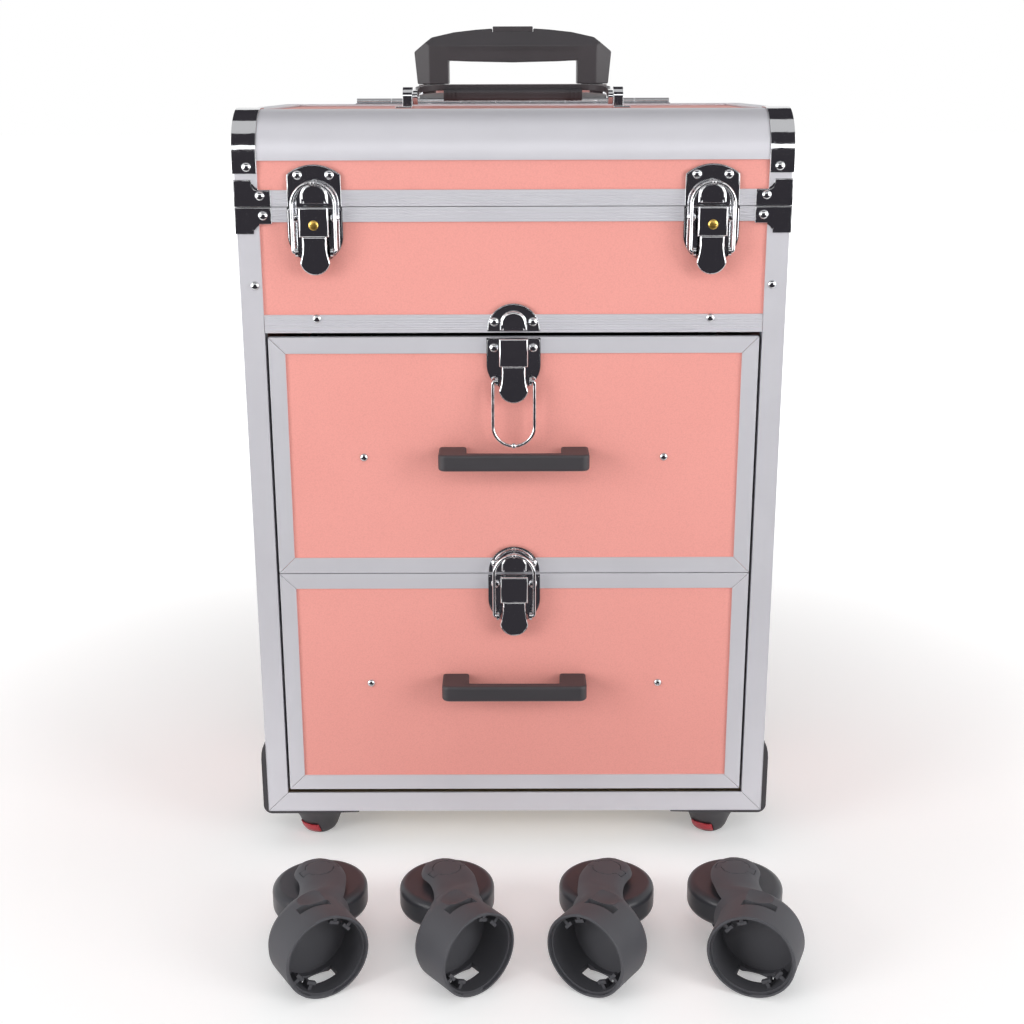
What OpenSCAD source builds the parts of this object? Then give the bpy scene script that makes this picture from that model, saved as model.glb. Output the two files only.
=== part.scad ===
// Rolling makeup case: an aluminium-framed box with a hinged lid, two drawers,
// a telescopic rear handle, plug-in caster hubs and four casters laid in front.
// Millimetres. +Z is up, the front faces -Y, the floor is Z = 0.

/* [Case] */
// Width over the aluminium corner posts
case_w = 370; // [340:1:400]
// Depth from the front plane to the rear plane
case_d = 250; // [235:1:280]
// Width of a corner post's flanges
post_w = 15; // [12:0.5:18]
// Thickness of the aluminium profiles
profile_t = 1.5; // [1:0.1:2]
// Thickness of the covered boards
board_t = 4; // [3:0.5:5]
// Height of the bottom rails
bottom_rail_h = 15; // [12:0.5:20]
// Height of the cross rail above the drawers
cross_rail_h = 12.3; // [10:0.1:16]
// Height of the covered panel in front of the top compartment
tray_panel_h = 62.3; // [50:0.1:90]
// Height of the base rim rail under the seam
rim_h = 9.8; // [8:0.1:14]
// Gap between base rim and lid rim
seam_gap = 0.4; // [0.3:0.1:0.8]
// Width of the slit at a mitred or butted rail joint
rail_joint_gap = 0.3; // [0.2:0.05:0.5]

/* [Lid] */
// Height of the lid rim rail
lid_rim_h = 10.8; // [8:0.1:14]
// Height of the covered strip above the lid rim
lid_strip_h = 19.4; // [14:0.1:30]
// Radius of the rounded front edge of the lid
crown_r = 32; // [26:1:38]
// Depth of the fixed rear wall that the lid is hinged to
rear_t = 15; // [12:0.5:20]
// Radius of the hinge knuckles
hinge_knuckle_r = 2.2; // [2:0.1:3]
// Radius of the hinge pin
hinge_pin_r = 1; // [0.8:0.1:1.3]

/* [Drawers] */
// Height of each drawer front
drawer_h = 170; // [140:1:200]
// Gap between a drawer front and the frame around it
drawer_reveal = 3.1; // [2:0.1:4]
// Gap between the two drawer fronts
drawer_gap = 0.6; // [0.5:0.1:1.5]
// Gap between a drawer front and the posts beside it
drawer_side_gap = 2; // [1:0.1:3]
// Width of the aluminium frame round a drawer front
drawer_frame_w = 11.3; // [9:0.1:14]
// How much shorter the drawer box is than its front
box_drop = 26; // [20:1:40]
// Depth of the drawer box behind its front
box_d = 205; // [180:1:210]
// Thickness of the drawer box walls
box_wall = 5; // [4:0.5:8]
// Height of a drawer slide
slide_h = 36; // [30:1:45]
// Thickness of a closed pair of slide members
slide_t = 11; // [10:0.5:13]
// Length of a drawer slide
slide_l = 200; // [170:1:205]
// Running clearance inside a drawer slide
slide_fit = 0.4; // [0.3:0.1:0.6]

/* [Pulls] */
// Length of a drawer pull
pull_l = 104; // [90:1:120]
// How far a drawer pull stands out
pull_d = 25; // [20:1:30]
// Height of a drawer pull's bar
pull_h = 11.5; // [9:0.5:14]
// Thickness of a drawer pull's bar
pull_bar_t = 8; // [6:0.5:10]
// Width of a drawer pull's foot
pull_foot_w = 19; // [14:1:24]
// Height of the bar's centre above the middle of the drawer front, below zero is lower
pull_z = 2; // [-20:1:20]

/* [Latches] */
// Distance of a lid latch's middle from the case's side
lid_latch_in = 52.6; // [50:0.1:80]
// Width of a latch base plate
latch_w = 37; // [32:1:40]
// Length of a latch base plate
latch_l = 37; // [34:1:42]
// Thickness of latch plates and levers
sheet_t = 1; // [0.8:0.1:1.2]
// Thickness of a bail wire
wire_d = 2.4; // [2:0.1:2.6]
// Width of a bail over its legs
bail_w = 31; // [29:1:33]
// Height of a bail from its pivot to its top
bail_l = 46.5; // [44:0.5:50]
// Depth of the bail pivot below the latch plate's top
bail_pivot_drop = 29.1; // [27:0.1:31]
// Width of a latch lever's plate
lever_w = 18.4; // [16:0.1:19]
// Length of a latch lever below the latch plate's top
lever_l = 44.4; // [40:0.1:48]
// Radius of the rounded lever tongue
tongue_r = 10.5; // [9:0.1:12]
// Radius of a lever's pivot pin
lever_pin_r = 1; // [0.8:0.1:1.2]
// Radius of a keeper's boss
boss_r = 9.3; // [8:0.1:9.5]
// How far a keeper's boss stands out of its plate
boss_h = 2.8; // [2.4:0.1:3]
// Gap between a bail's wire and the boss behind it
bail_gap = 3.2; // [2:0.1:4]
// Radius of a key cylinder
key_r = 3.4; // [3:0.1:4]
// Radial clearance of a turning pin in its hole
pin_fit = 0.06; // [0.03:0.01:0.1]

/* [Carry handle] */
// Distance of the carry handle's pivot from the front plane
carry_y = 122; // [100:1:140]
// Width of the carry handle over its strap
carry_w = 146; // [120:1:160]
// Reach of the carry handle from its pivot
carry_reach = 40; // [34:1:50]
// Width of the carry handle's strap
strap_w = 10; // [8:0.5:12]
// Thickness of the carry handle's strap
strap_t = 3.3; // [2.5:0.1:4]
// Length of the carry handle's grip
carry_grip_l = 106; // [80:1:108]
// Height of the carry handle's pivot above the lid top
carry_pivot_h = 6.3; // [6.2:0.1:12]

/* [Trolley handle] */
// Width of an outer trolley tube
tube_w = 24; // [20:1:26]
// Depth of an outer trolley tube
tube_d = 16; // [14:1:20]
// Wall of the trolley tubes
tube_wall = 1.2; // [1:0.1:1.4]
// Clearance between two trolley tubes
tube_fit = 0.4; // [0.3:0.1:0.6]
// Distance of the trolley tubes from the centre line
tube_x = 65; // [55:1:80]
// Gap between the rear plane and the trolley tubes
tube_gap = 8; // [7:1:12]
// Height of the trolley tubes above the lid top
tube_rise = 15; // [10:1:25]
// Height of the grip over its legs and arch
grip_h = 43.8; // [40:0.1:55]
// Depth of the grip from front to rear
grip_d = 26; // [22:1:30]
// Length of the grip's release button
grip_button_l = 32.6; // [26:0.1:40]

/* [Corner guards and hubs] */
// Height of the case's bottom edge above the floor
base_z = 31; // [28:1:36]
// Thickness of the plastic corner guards
guard_t = 3.5; // [2.5:0.1:4.5]
// Height of a corner guard's side wing
guard_h = 55; // [40:1:70]
// Length of a corner guard along the side
guard_l = 62; // [58:1:80]
// Length of a corner guard across the bottom
guard_in = 68; // [64:1:90]
// Distance of a hub from the case's side
hub_in = 34.2; // [32:0.1:38]
// Distance of a hub from the front or rear plane
hub_y = 32; // [30:1:36]
// Radius of a hub where it meets the corner guard
hub_r = 24.3; // [22:0.1:26]
// Radius of a hub's foot
hub_foot_r = 11; // [10:0.5:14]
// Radius of the pivot post that a hub turns on
hub_post_r = 4; // [3:0.5:5]
// Width of the release button in a hub
release_w = 17; // [14:1:18]
// Height of the release button in a hub
release_h = 7; // [5:0.1:8]

/* [Casters] */
// Radius of a caster wheel
wheel_r = 32; // [28:1:34]
// Width of a caster wheel
wheel_w = 20; // [20:1:25]
// Outer radius of a caster's cup, which lies on the floor
cup_r = 28.5; // [28:0.5:32]
// Wall of a caster's cup
cup_wall = 3; // [2:0.1:4]
// Distance from the wheel's axle to the cup's mouth
cup_reach = 72; // [70:1:80]
// Depth of the cup outside
cup_l = 32; // [28:1:34]
// Offset of the cup from the axle
trail = 28; // [20:1:34]
// Half of the caster's width over its arms
arm_half = 19; // [18:0.5:21]
// Thickness of a caster's arms
arm_t = 6; // [4:0.5:6]
// Radius of an arm's rounded end
arm_r = 16.5; // [12:0.5:17]
// Radius of a caster's axle
axle_r = 3; // [2.5:0.1:4]

/* [Hidden] */
$fn = 48;
eps = 0.01;
big = 1000;

// Heights above the case's bottom edge, from the bottom up.
z_drawer_2 = bottom_rail_h + drawer_reveal;
z_drawer_1 = z_drawer_2 + drawer_h + drawer_gap;
z_cross = z_drawer_1 + drawer_h + drawer_reveal;
z_tray = z_cross + cross_rail_h;
z_rim = z_tray + tray_panel_h;
z_seam = z_rim + rim_h;
z_lid = z_seam + seam_gap;
z_strip = z_lid + lid_rim_h;
z_crown = z_strip + lid_strip_h;
case_h = z_crown + crown_r;

half_w = case_w / 2;
post_in = half_w - post_w;
lid_latch_x = half_w - lid_latch_in;
hub_x = half_w - hub_in;
board_out = half_w - profile_t;
board_in = board_out - board_t;
hinge_y = case_d - rear_t;
hinge_z = case_h + hinge_knuckle_r;
lid_back = hinge_y - 0.5;

// Rivets stand this far out and have this radius.
rivet_r = 2.9;
rivet_h = 1.5;

// Trolley tubes, from the outside in.
tube_y = case_d + tube_gap + tube_d / 2;
mid_w = tube_w - 2 * tube_wall - 2 * tube_fit;
mid_d = tube_d - 2 * tube_wall - 2 * tube_fit;
inner_w = mid_w - 2 * tube_wall - 2 * tube_fit;
inner_d = mid_d - 2 * tube_wall - 2 * tube_fit;
tube_top = case_h + tube_rise;

// Casters: where each wheel stands, which way its cup faces, and its hand.
caster_x = [-132, -46, 62, 149];
caster_front = 113;
caster_turn = [32, 39, -35, -22];
caster_hand = [1, 1, -1, -1];
function cup_front(i) = caster_front + cup_reach * cos(caster_turn[i])
    + (trail + cup_r) * abs(sin(caster_turn[i]));
front_reach = max([for (i = [0 : 3]) cup_front(i)]);
// The front plane's place puts the middle of the whole depth at Y = 0.
front_y = (front_reach - tube_y - grip_d / 2) / 2;

// Hub places: left is -X, front is -Y. Every hub's button looks the same way.
release_turn = 235;

module in_case() {
    translate([0, front_y, base_z]) children();
}

// A flat outline in X and Z, t thick, standing on the plane y = -back towards the front.
module plate(t, back = 0) {
    translate([0, -back, 0]) rotate([90, 0, 0]) linear_extrude(t) children();
}

module both_sides() {
    children();
    mirror([1, 0, 0]) children();
}

module box(x0, x1, y0, y1, z0, z1) {
    translate([x0, y0, z0]) cube([x1 - x0, y1 - y0, z1 - z0]);
}

// A domed rivet head on a face that looks to the front.
module rivet(x, z, face = 0) {
    translate([x, -face, z]) rotate([90, 0, 0]) cylinder(h = rivet_h, r1 = rivet_r, r2 = rivet_r * 0.55, $fn = 24);
}

// ---- case ----

module corner_post_front() {
    box(post_in, half_w, 0, profile_t, 0, z_seam);
    box(board_out, half_w, 0, post_w, 0, z_seam);
    box(post_in, post_in + profile_t, 0, post_w - 3, bottom_rail_h, z_cross);
}

module corner_post_rear() {
    box(post_in, half_w, case_d - profile_t, case_d, 0, case_h);
    box(board_out, half_w, hinge_y, case_d, 0, case_h);
}

module bottom_rails() {
    box(-half_w, half_w, 0, profile_t, 0, bottom_rail_h);
    box(-half_w, half_w, 0, post_w, 0, profile_t);
    box(-half_w, half_w, case_d - profile_t, case_d, 0, bottom_rail_h);
    box(-half_w, half_w, case_d - post_w, case_d, 0, profile_t);
    both_sides() {
        box(board_out, half_w, 0, case_d, 0, bottom_rail_h);
        box(half_w - post_w, half_w, 0, case_d, 0, profile_t);
    }
}

// The slit of a mitre joint between a front post and the bottom rail.
module mitre_slit() {
    translate([half_w, profile_t / 2, 0]) rotate([0, -45, 0])
        cube([rail_joint_gap, profile_t + 2 * eps, 3 * post_w], center = true);
}

module side_rim() {
    box(board_out, half_w, post_w + rail_joint_gap, hinge_y - rail_joint_gap, z_rim, z_seam);
    box(board_in, half_w, post_w + rail_joint_gap, hinge_y - rail_joint_gap, z_seam - profile_t, z_seam);
}

module case_frame() color("silver") in_case() {
    rail_end = post_in - rail_joint_gap;
    difference() {
        union() {
            both_sides() {
                corner_post_front();
                corner_post_rear();
            }
            bottom_rails();
        }
        both_sides() mitre_slit();
    }
    both_sides() side_rim();
    box(-rail_end, rail_end, 0, profile_t, z_rim, z_seam);
    box(-rail_end, rail_end, 0, profile_t + board_t, z_seam - profile_t, z_seam);
    box(-rail_end, rail_end, 0, profile_t, z_cross, z_tray);
    box(-rail_end, rail_end, 0, post_w, z_cross, z_cross + profile_t);
    box(-post_in, post_in, hinge_y, case_d, case_h - profile_t, case_h);
    box(-post_in, post_in, hinge_y, hinge_y + profile_t, case_h - cross_rail_h, case_h);
    box(-post_in, post_in, case_d - profile_t, case_d, case_h - cross_rail_h, case_h);
}

module side_board() {
    back = case_d - profile_t;
    translate([board_in, 0, 0]) rotate([90, 0, 90]) linear_extrude(board_t) polygon([
        [profile_t, profile_t], [back, profile_t], [back, case_h - profile_t],
        [hinge_y + profile_t, case_h - profile_t], [hinge_y + profile_t, z_seam - profile_t],
        [profile_t, z_seam - profile_t]
    ]);
}

module body_panels() color("salmon") in_case() {
    back = case_d - profile_t;
    both_sides() side_board();
    box(-board_in, board_in, profile_t, profile_t + board_t, z_cross + profile_t, z_seam - profile_t);
    box(-board_in, board_in, back - board_t, back, profile_t, case_h - profile_t);
    box(-board_in, board_in, hinge_y + profile_t, hinge_y + profile_t + board_t,
        z_cross + profile_t + board_t, case_h - cross_rail_h);
}

// Bottom board, floor of the top compartment and the battens that carry the slides.
module floor_boards() color("burlywood") in_case() {
    front = profile_t + board_t;
    back = case_d - profile_t - board_t;
    box(-board_in, board_in, post_w, back, profile_t, profile_t + board_t);
    box(-board_in, board_in, front, back, z_cross + profile_t, z_cross + profile_t + board_t);
    both_sides() for (z = [z_drawer_1, z_drawer_2])
        box(post_in - drawer_side_gap / 2, board_in, post_w, back,
            z + drawer_h / 2 - slide_h / 2, z + drawer_h / 2 + slide_h / 2);
}

// Outline of an L-shaped corner plate with a hollow inner curve, corner at the origin.
module ell(long, narrow, tall, wide_h) {
    r = long - narrow;
    difference() {
        square([long, tall]);
        translate([narrow, wide_h]) square([long, tall]);
    }
    difference() {
        translate([narrow, wide_h]) square(min(r, tall - wide_h) * 0.6);
        translate([narrow + r * 0.6, wide_h + r * 0.6]) circle(r * 0.6, $fn = 32);
    }
}

corner_long = 24.6;
corner_wide_h = 11;
corner_tall = 17.6;
corner_narrow = 12.5;

module base_corner_plates() color("dimgray") in_case() both_sides() {
    translate([half_w + sheet_t, 0, z_seam]) mirror([1, 0, 0]) mirror([0, 0, 1])
        plate(sheet_t) ell(corner_long, corner_narrow, corner_tall, corner_wide_h);
    box(half_w, half_w + sheet_t, 0, corner_long, z_seam - corner_wide_h, z_seam);
}

module corner_guard() {
    translate([half_w - guard_in, -0.5, -guard_t]) cube([guard_in + guard_t, guard_l, guard_t]);
    translate([half_w, -0.5, 0]) cube([guard_t, guard_l, guard_h]);
    translate([hub_x, hub_y, eps - guard_t]) mirror([0, 0, 1]) cylinder(h = base_z - guard_t - 6, r = hub_post_r);
}

module corner_guards() color("#333335") in_case() both_sides() {
    corner_guard();
    translate([0, case_d, 0]) mirror([0, 1, 0]) corner_guard();
}

// ---- latches: the origin is at the middle of the base plate's top edge ----

ear_t = 1.8;
bail_leg_x = (bail_w - wire_d) / 2;
bail_plane = sheet_t + boss_h + bail_gap + wire_d / 2;
bail_ear_x = bail_leg_x - wire_d / 2 - 0.5 - ear_t;
lever_pin_drop = 2.6;
lever_pin_y = sheet_t + 5;
lever_front = sheet_t + 9;
pin_ear_x = lever_w / 2 - sheet_t - 0.4 - ear_t;

module latch_base() {
    end_r = latch_w / 2;
    difference() {
        union() {
            plate(sheet_t) {
                translate([-end_r, end_r - latch_l]) square([latch_w, latch_l - end_r]);
                translate([0, end_r - latch_l]) circle(end_r, $fn = 64);
            }
            both_sides() {
                box(bail_ear_x, bail_ear_x + ear_t, -bail_plane, 0, -bail_pivot_drop - 3, -bail_pivot_drop + 3);
                translate([bail_ear_x, -bail_plane, -bail_pivot_drop]) rotate([0, 90, 0]) cylinder(h = ear_t, r = 3);
                box(pin_ear_x, pin_ear_x + ear_t, -lever_pin_y, 0, -lever_pin_drop - 2.4, -lever_pin_drop + 2.4);
                translate([pin_ear_x, -lever_pin_y, -lever_pin_drop]) rotate([0, 90, 0]) cylinder(h = ear_t, r = 2.4);
            }
        }
        translate([-latch_w / 2, -bail_plane, -bail_pivot_drop]) rotate([0, 90, 0])
            cylinder(h = latch_w, r = wire_d / 2 + pin_fit);
        translate([-latch_w / 2, -lever_pin_y, -lever_pin_drop]) rotate([0, 90, 0])
            cylinder(h = latch_w, r = lever_pin_r + pin_fit);
    }
    both_sides() rivet(13.4, -7, sheet_t);
}

module latch_lever(bore = 0) {
    top = 0.5;
    step = -19;
    difference() {
        plate(sheet_t, lever_front - sheet_t) {
            translate([-lever_w / 2, step]) square([lever_w, top - step]);
            translate([-8, tongue_r - lever_l]) square([16, lever_l + step - tongue_r + eps]);
            translate([0, tongue_r - lever_l]) circle(tongue_r);
        }
        if (bore > 0) translate([0, 1 - lever_front / 2, -11.1]) rotate([90, 0, 0]) cylinder(h = lever_front, r = bore);
    }
    both_sides() box(lever_w / 2 - sheet_t, lever_w / 2, eps - lever_front, -sheet_t - 3, step, top);
    translate([-lever_w / 2 + eps, -lever_pin_y, -lever_pin_drop]) rotate([0, 90, 0])
        cylinder(h = lever_w - 2 * eps, r = lever_pin_r);
}

// A wire bail with its pivot axis at the origin, standing up. Its ends bend inwards into the ears.
module bail() {
    arch_z = bail_l - bail_w / 2;
    bend_r = wire_d * 0.65;
    bead = 8;
    translate([0, 0, arch_z]) rotate([90, 0, 0]) {
        rotate_extrude(angle = 180) translate([bail_leg_x, 0]) circle(wire_d / 2);
        rotate([0, 0, 90 - bead / 2]) rotate_extrude(angle = bead) translate([bail_leg_x, 0]) circle(wire_d * 0.75);
    }
    both_sides() {
        translate([bail_leg_x, 0, bend_r]) cylinder(h = arch_z - bend_r, r = wire_d / 2);
        translate([bail_leg_x - bend_r, 0, bend_r]) rotate([90, 0, 0]) rotate([0, 0, -90])
            rotate_extrude(angle = 90) translate([bend_r, 0]) circle(wire_d / 2);
        translate([bail_ear_x, 0, 0]) rotate([0, 90, 0]) cylinder(h = bail_leg_x - bend_r - bail_ear_x, r = wire_d / 2);
    }
}

// A half-disc keeper stands this far above the edge that it is riveted along.
keeper_lift = 0.9;

// Keeper boss: an arch with sloping sides, bottom edge at z.
module keeper_boss(z) {
    slope = 2.4;
    straight = 4.2;
    base_y = eps - sheet_t;
    translate([0, base_y, z + straight]) intersection() {
        rotate([90, 0, 0]) cylinder(h = boss_h, r1 = boss_r, r2 = boss_r - slope);
        box(-boss_r, boss_r, -boss_h, 0, 0, boss_r);
    }
    translate([0, base_y, z]) linear_extrude(straight)
        polygon([[-boss_r, 0], [slope - boss_r, -boss_h], [boss_r - slope, -boss_h], [boss_r, 0]]);
}

module half_disc_keeper() {
    keeper_r = latch_w / 2 - 0.5;
    plate(sheet_t) intersection() {
        translate([0, 1]) circle(keeper_r, $fn = 64);
        translate([-keeper_r, 0]) square([2 * keeper_r, keeper_r + 2]);
    }
    keeper_boss(0.8);
    both_sides() rivet(13.2, 6.5, sheet_t);
}

module lid_keeper() {
    keeper_half = latch_w / 2 - 0.5;
    shoulder_r = 27.8;
    tall = 27.4;
    plate(sheet_t) intersection() {
        translate([-keeper_half, 0]) square([2 * keeper_half, tall]);
        translate([0, tall - shoulder_r]) circle(shoulder_r, $fn = 96);
    }
    keeper_boss(2.1);
    both_sides() rivet(10.6, 20.5, sheet_t);
}

module key_cylinder() {
    difference() {
        translate([0, 0.8 - lever_front, 0]) rotate([90, 0, 0]) cylinder(h = 2.6, r = key_r);
        translate([0, -lever_front - 1.8, 0]) cube([0.7, 2, 4.4], center = true);
    }
    translate([0, 3 - lever_front, 0]) rotate([90, 0, 0]) cylinder(h = 2.3, r = key_r - 0.8);
}

module at_lid_latch(side) {
    in_case() translate([side * lid_latch_x, 0, z_seam]) children();
}

// Top edge of a drawer's latch base plate, just under the front's top edge.
function drawer_latch_z(z) = z + drawer_h - 0.3;

module at_drawer_latch(z) {
    in_case() translate([0, 0, drawer_latch_z(z)]) children();
}

module at_pivot() {
    translate([0, -bail_plane, -bail_pivot_drop]) children();
}

module lid_latch_plates() color("gray") {
    at_lid_latch(-1) latch_base();
    at_lid_latch(1) latch_base();
}

module lid_lever(side) color("gray") at_lid_latch(side) latch_lever(key_r + pin_fit);
module lid_bail(side) color("silver") at_lid_latch(side) at_pivot() bail();
module key(side) color("gold") at_lid_latch(side) translate([0, 0, -11.1]) key_cylinder();
module drawer_lever(z) color("gray") at_drawer_latch(z) latch_lever();
module drawer_1_bail() color("silver") at_drawer_latch(z_drawer_1) at_pivot() mirror([0, 0, 1]) bail();
module drawer_2_bail() color("silver") at_drawer_latch(z_drawer_2) at_pivot() bail();
module drawer_1_keeper() color("gray") in_case() translate([0, 0, z_cross + keeper_lift])
    half_disc_keeper();

post_rivet_z = z_tray + 20;
case_rivet_x = 134;

module case_rivets() color("gainsboro") in_case() both_sides() {
    rivet(case_rivet_x, z_tray - 2.5);
    rivet(half_w - 10, post_rivet_z);
    rivet(half_w - 18, z_seam - 5.5, sheet_t);
    translate([half_w, case_d / 2, z_rim + rim_h / 2]) rotate([0, 0, 90]) rivet(0, 0);
    translate([half_w, case_d / 2, bottom_rail_h / 2]) rotate([0, 0, 90]) rivet(0, 0);
}

// ---- hinge ----

knuckle_l = 28;
knuckle_gap = 0.3;
knuckle_count = 9;
hinge_l = knuckle_count * knuckle_l;

// Every second knuckle of the piano hinge, starting with the first or the second.
module knuckles(first) {
    for (i = [first : 2 : knuckle_count - 1])
        translate([-hinge_l / 2 + i * knuckle_l + knuckle_gap / 2, 0, hinge_z]) rotate([0, 90, 0])
            cylinder(h = knuckle_l - knuckle_gap, r = hinge_knuckle_r);
}

module pin_hole() {
    translate([-hinge_l / 2 - 1, 0, hinge_z]) rotate([0, 90, 0])
        cylinder(h = hinge_l + 2, r = hinge_pin_r + pin_fit);
}

leaf_t = 0.8;
leaf_w = 11;

module hinge_leaf(first) {
    translate([0, hinge_y, 0]) difference() {
        union() {
            knuckles(first);
            for (i = [first : 2 : knuckle_count - 1])
                box(-hinge_l / 2 + i * knuckle_l + knuckle_gap / 2, -hinge_l / 2 + (i + 1) * knuckle_l - knuckle_gap / 2,
                    0, 3, case_h, case_h + leaf_t);
            box(-hinge_l / 2, hinge_l / 2, 2.7, leaf_w, case_h, case_h + leaf_t);
        }
        pin_hole();
    }
}

// The case's leaf, with the pin that is staked in it.
module case_hinge_leaf() color("gainsboro") in_case() {
    hinge_leaf(0);
    translate([-hinge_l / 2, hinge_y, hinge_z]) rotate([0, 90, 0]) cylinder(h = hinge_l, r = hinge_pin_r);
}

module lid_hinge_leaf() color("gainsboro") in_case()
    translate([0, hinge_y, 0]) mirror([0, 1, 0]) translate([0, -hinge_y, 0]) hinge_leaf(1);

// ---- lid ----

// Side outline of the lid from the rim to the top, inset by t, with its rounded front edge.
module lid_outline(t, z0) {
    r = crown_r - t;
    difference() {
        translate([t, z0]) square([lid_back - t, case_h - t - z0]);
        translate([t - 1, z_crown]) square([r + 1, r + 1]);
    }
    intersection() {
        translate([crown_r, z_crown]) circle(r, $fn = 96);
        translate([t - 1, z_crown]) square([r + 1, r + 1]);
    }
}

// Extrudes an outline in Y and Z along X.
module along_x(x0, x1) {
    translate([x0, 0, 0]) rotate([90, 0, 90]) linear_extrude(x1 - x0) children();
}

module lid_panels() color("salmon") in_case() {
    both_sides() along_x(board_in, board_out) lid_outline(profile_t, z_lid + profile_t);
    box(-board_in, board_in, profile_t, profile_t + board_t, z_lid + profile_t, z_crown);
    box(-board_in, board_in, crown_r, lid_back, case_h - profile_t - board_t, case_h - profile_t);
}

cap_d = 46;
cap_low = 8.8;

module lid_frame() color("silver") in_case() {
    rail_end = post_in - rail_joint_gap;
    along_x(-post_in, post_in) difference() {
        intersection() {
            lid_outline(0, z_crown);
            translate([0, z_crown]) square([crown_r, crown_r]);
        }
        lid_outline(profile_t, z_crown - 1);
    }
    box(-rail_end, rail_end, 0, profile_t, z_lid, z_strip);
    box(-rail_end, rail_end, 0, profile_t + board_t, z_lid, z_lid + profile_t);
    box(-rail_end, rail_end, lid_back - post_w, lid_back, case_h - profile_t, case_h);
    both_sides() {
        box(post_in, half_w, 0, profile_t, z_lid, z_crown);
        box(board_out, half_w, 0, lid_back, z_lid, z_strip);
        box(board_in, half_w, profile_t, lid_back, z_lid, z_lid + profile_t);
        box(board_out, half_w, cap_d, lid_back, case_h - post_w, case_h);
        box(post_in, half_w, cap_d, lid_back, case_h - profile_t, case_h);
        box(board_out, half_w, 0, post_w, z_lid, z_crown - cap_low);
    }
}

module lid_corner_caps() color("dimgray") in_case() both_sides() {
    difference() {
        along_x(post_in, half_w + 1.2) intersection() {
            translate([0, 0]) lid_outline(-sheet_t, z_crown - cap_low);
            translate([-2, z_crown - cap_low]) square([cap_d, big]);
        }
        along_x(post_in - 1, board_out) lid_outline(profile_t, z_lid);
        along_x(post_in - 1, half_w) lid_outline(0, z_lid);
    }
    translate([half_w + sheet_t, 0, z_lid]) mirror([1, 0, 0])
        plate(sheet_t) ell(corner_long, corner_narrow, corner_tall, corner_wide_h);
    box(half_w, half_w + sheet_t, 0, corner_long, z_lid, z_lid + corner_wide_h);
}

module lid_keepers() color("gray") {
    for (side = [-1, 1]) in_case() translate([side * lid_latch_x, 0, z_lid]) lid_keeper();
}

module lid_rivets() color("gainsboro") in_case() both_sides() {
    rivet(half_w - 8.5, z_crown - cap_low + 4.3, sheet_t);
    rivet(half_w - 16.5, z_lid + 7, sheet_t);
    translate([half_w, case_d / 2, z_lid + lid_rim_h / 2]) rotate([0, 0, 90]) rivet(0, 0);
}

// ---- carry handle: it lies back on the lid, tilted up a little ----

carry_z = case_h + carry_pivot_h;
carry_lie = 6;
bracket_t = 7;
bracket_r = 7.5;
bracket_foot_w = 12;
bracket_foot_l = 26;
bracket_gap = 0.4;
bracket_x = carry_w / 2 + bracket_gap;
carry_pin_r = 2.4;
lid_top = case_h - profile_t;

module carry_brackets() color("dimgray") in_case() both_sides() {
    difference() {
        union() {
            box(bracket_x, bracket_x + bracket_t, carry_y - bracket_r, carry_y + bracket_r, lid_top, carry_z);
            translate([bracket_x, carry_y, carry_z]) rotate([0, 90, 0]) cylinder(h = bracket_t, r = bracket_r);
            box(bracket_x, bracket_x + bracket_foot_w, carry_y - bracket_foot_l / 2,
                carry_y + bracket_foot_l / 2, lid_top, lid_top + profile_t);
        }
        translate([bracket_x - 1, carry_y, carry_z]) rotate([0, 90, 0])
            cylinder(h = bracket_t + 2, r = carry_pin_r + pin_fit);
    }
}

module at_carry() {
    in_case() translate([0, carry_y, carry_z]) rotate([carry_lie, 0, 0]) children();
}

corner_r = 21;
strap_shown = 3;

module carry_strap() color("silver") at_carry() both_sides() {
    leg = carry_reach - corner_r;
    box(carry_w / 2 - strap_t, carry_w / 2, 0, leg, -strap_w / 2, strap_w / 2);
    translate([carry_w / 2 - strap_t, 0, 0]) rotate([0, 90, 0]) cylinder(h = strap_t, r = strap_w / 2);
    translate([carry_w / 2 - eps, 0, 0]) rotate([0, 90, 0])
        cylinder(h = bracket_gap + bracket_t + 0.6, r = carry_pin_r);
    translate([carry_w / 2 - corner_r, leg, -strap_w / 2]) rotate_extrude(angle = 90)
        translate([corner_r - strap_t, 0]) square([strap_t, strap_w]);
    box(-eps, carry_w / 2 - corner_r, carry_reach - strap_t, carry_reach, -strap_w / 2, strap_w / 2);
}

module carry_grip() color("#262628") at_carry() {
    grip_t = 9;
    straight = carry_w / 2 - corner_r;
    low = -strap_w / 2 - 0.8;
    high = strap_w / 2 - strap_shown;
    box(-straight, straight, carry_reach - strap_t - grip_t, carry_reach - strap_t, low, high);
    both_sides() for (i = [0 : 3])
        box(straight - 2 - i * 4.5, straight - i * 4.5, carry_reach - strap_t - grip_t - 0.8,
            carry_reach - strap_t - grip_t, low, high - 0.5);
}

// ---- drawers: z is the bottom edge of the drawer's front ----

front_half = post_in - drawer_side_gap;
slide_in = post_in - drawer_side_gap / 2 - slide_t - 1;
box_z = 6;

module drawer_panel(z) color("salmon") in_case()
    box(-front_half + profile_t, front_half - profile_t, profile_t, profile_t + board_t,
        z + profile_t, z + drawer_h - profile_t);

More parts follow.
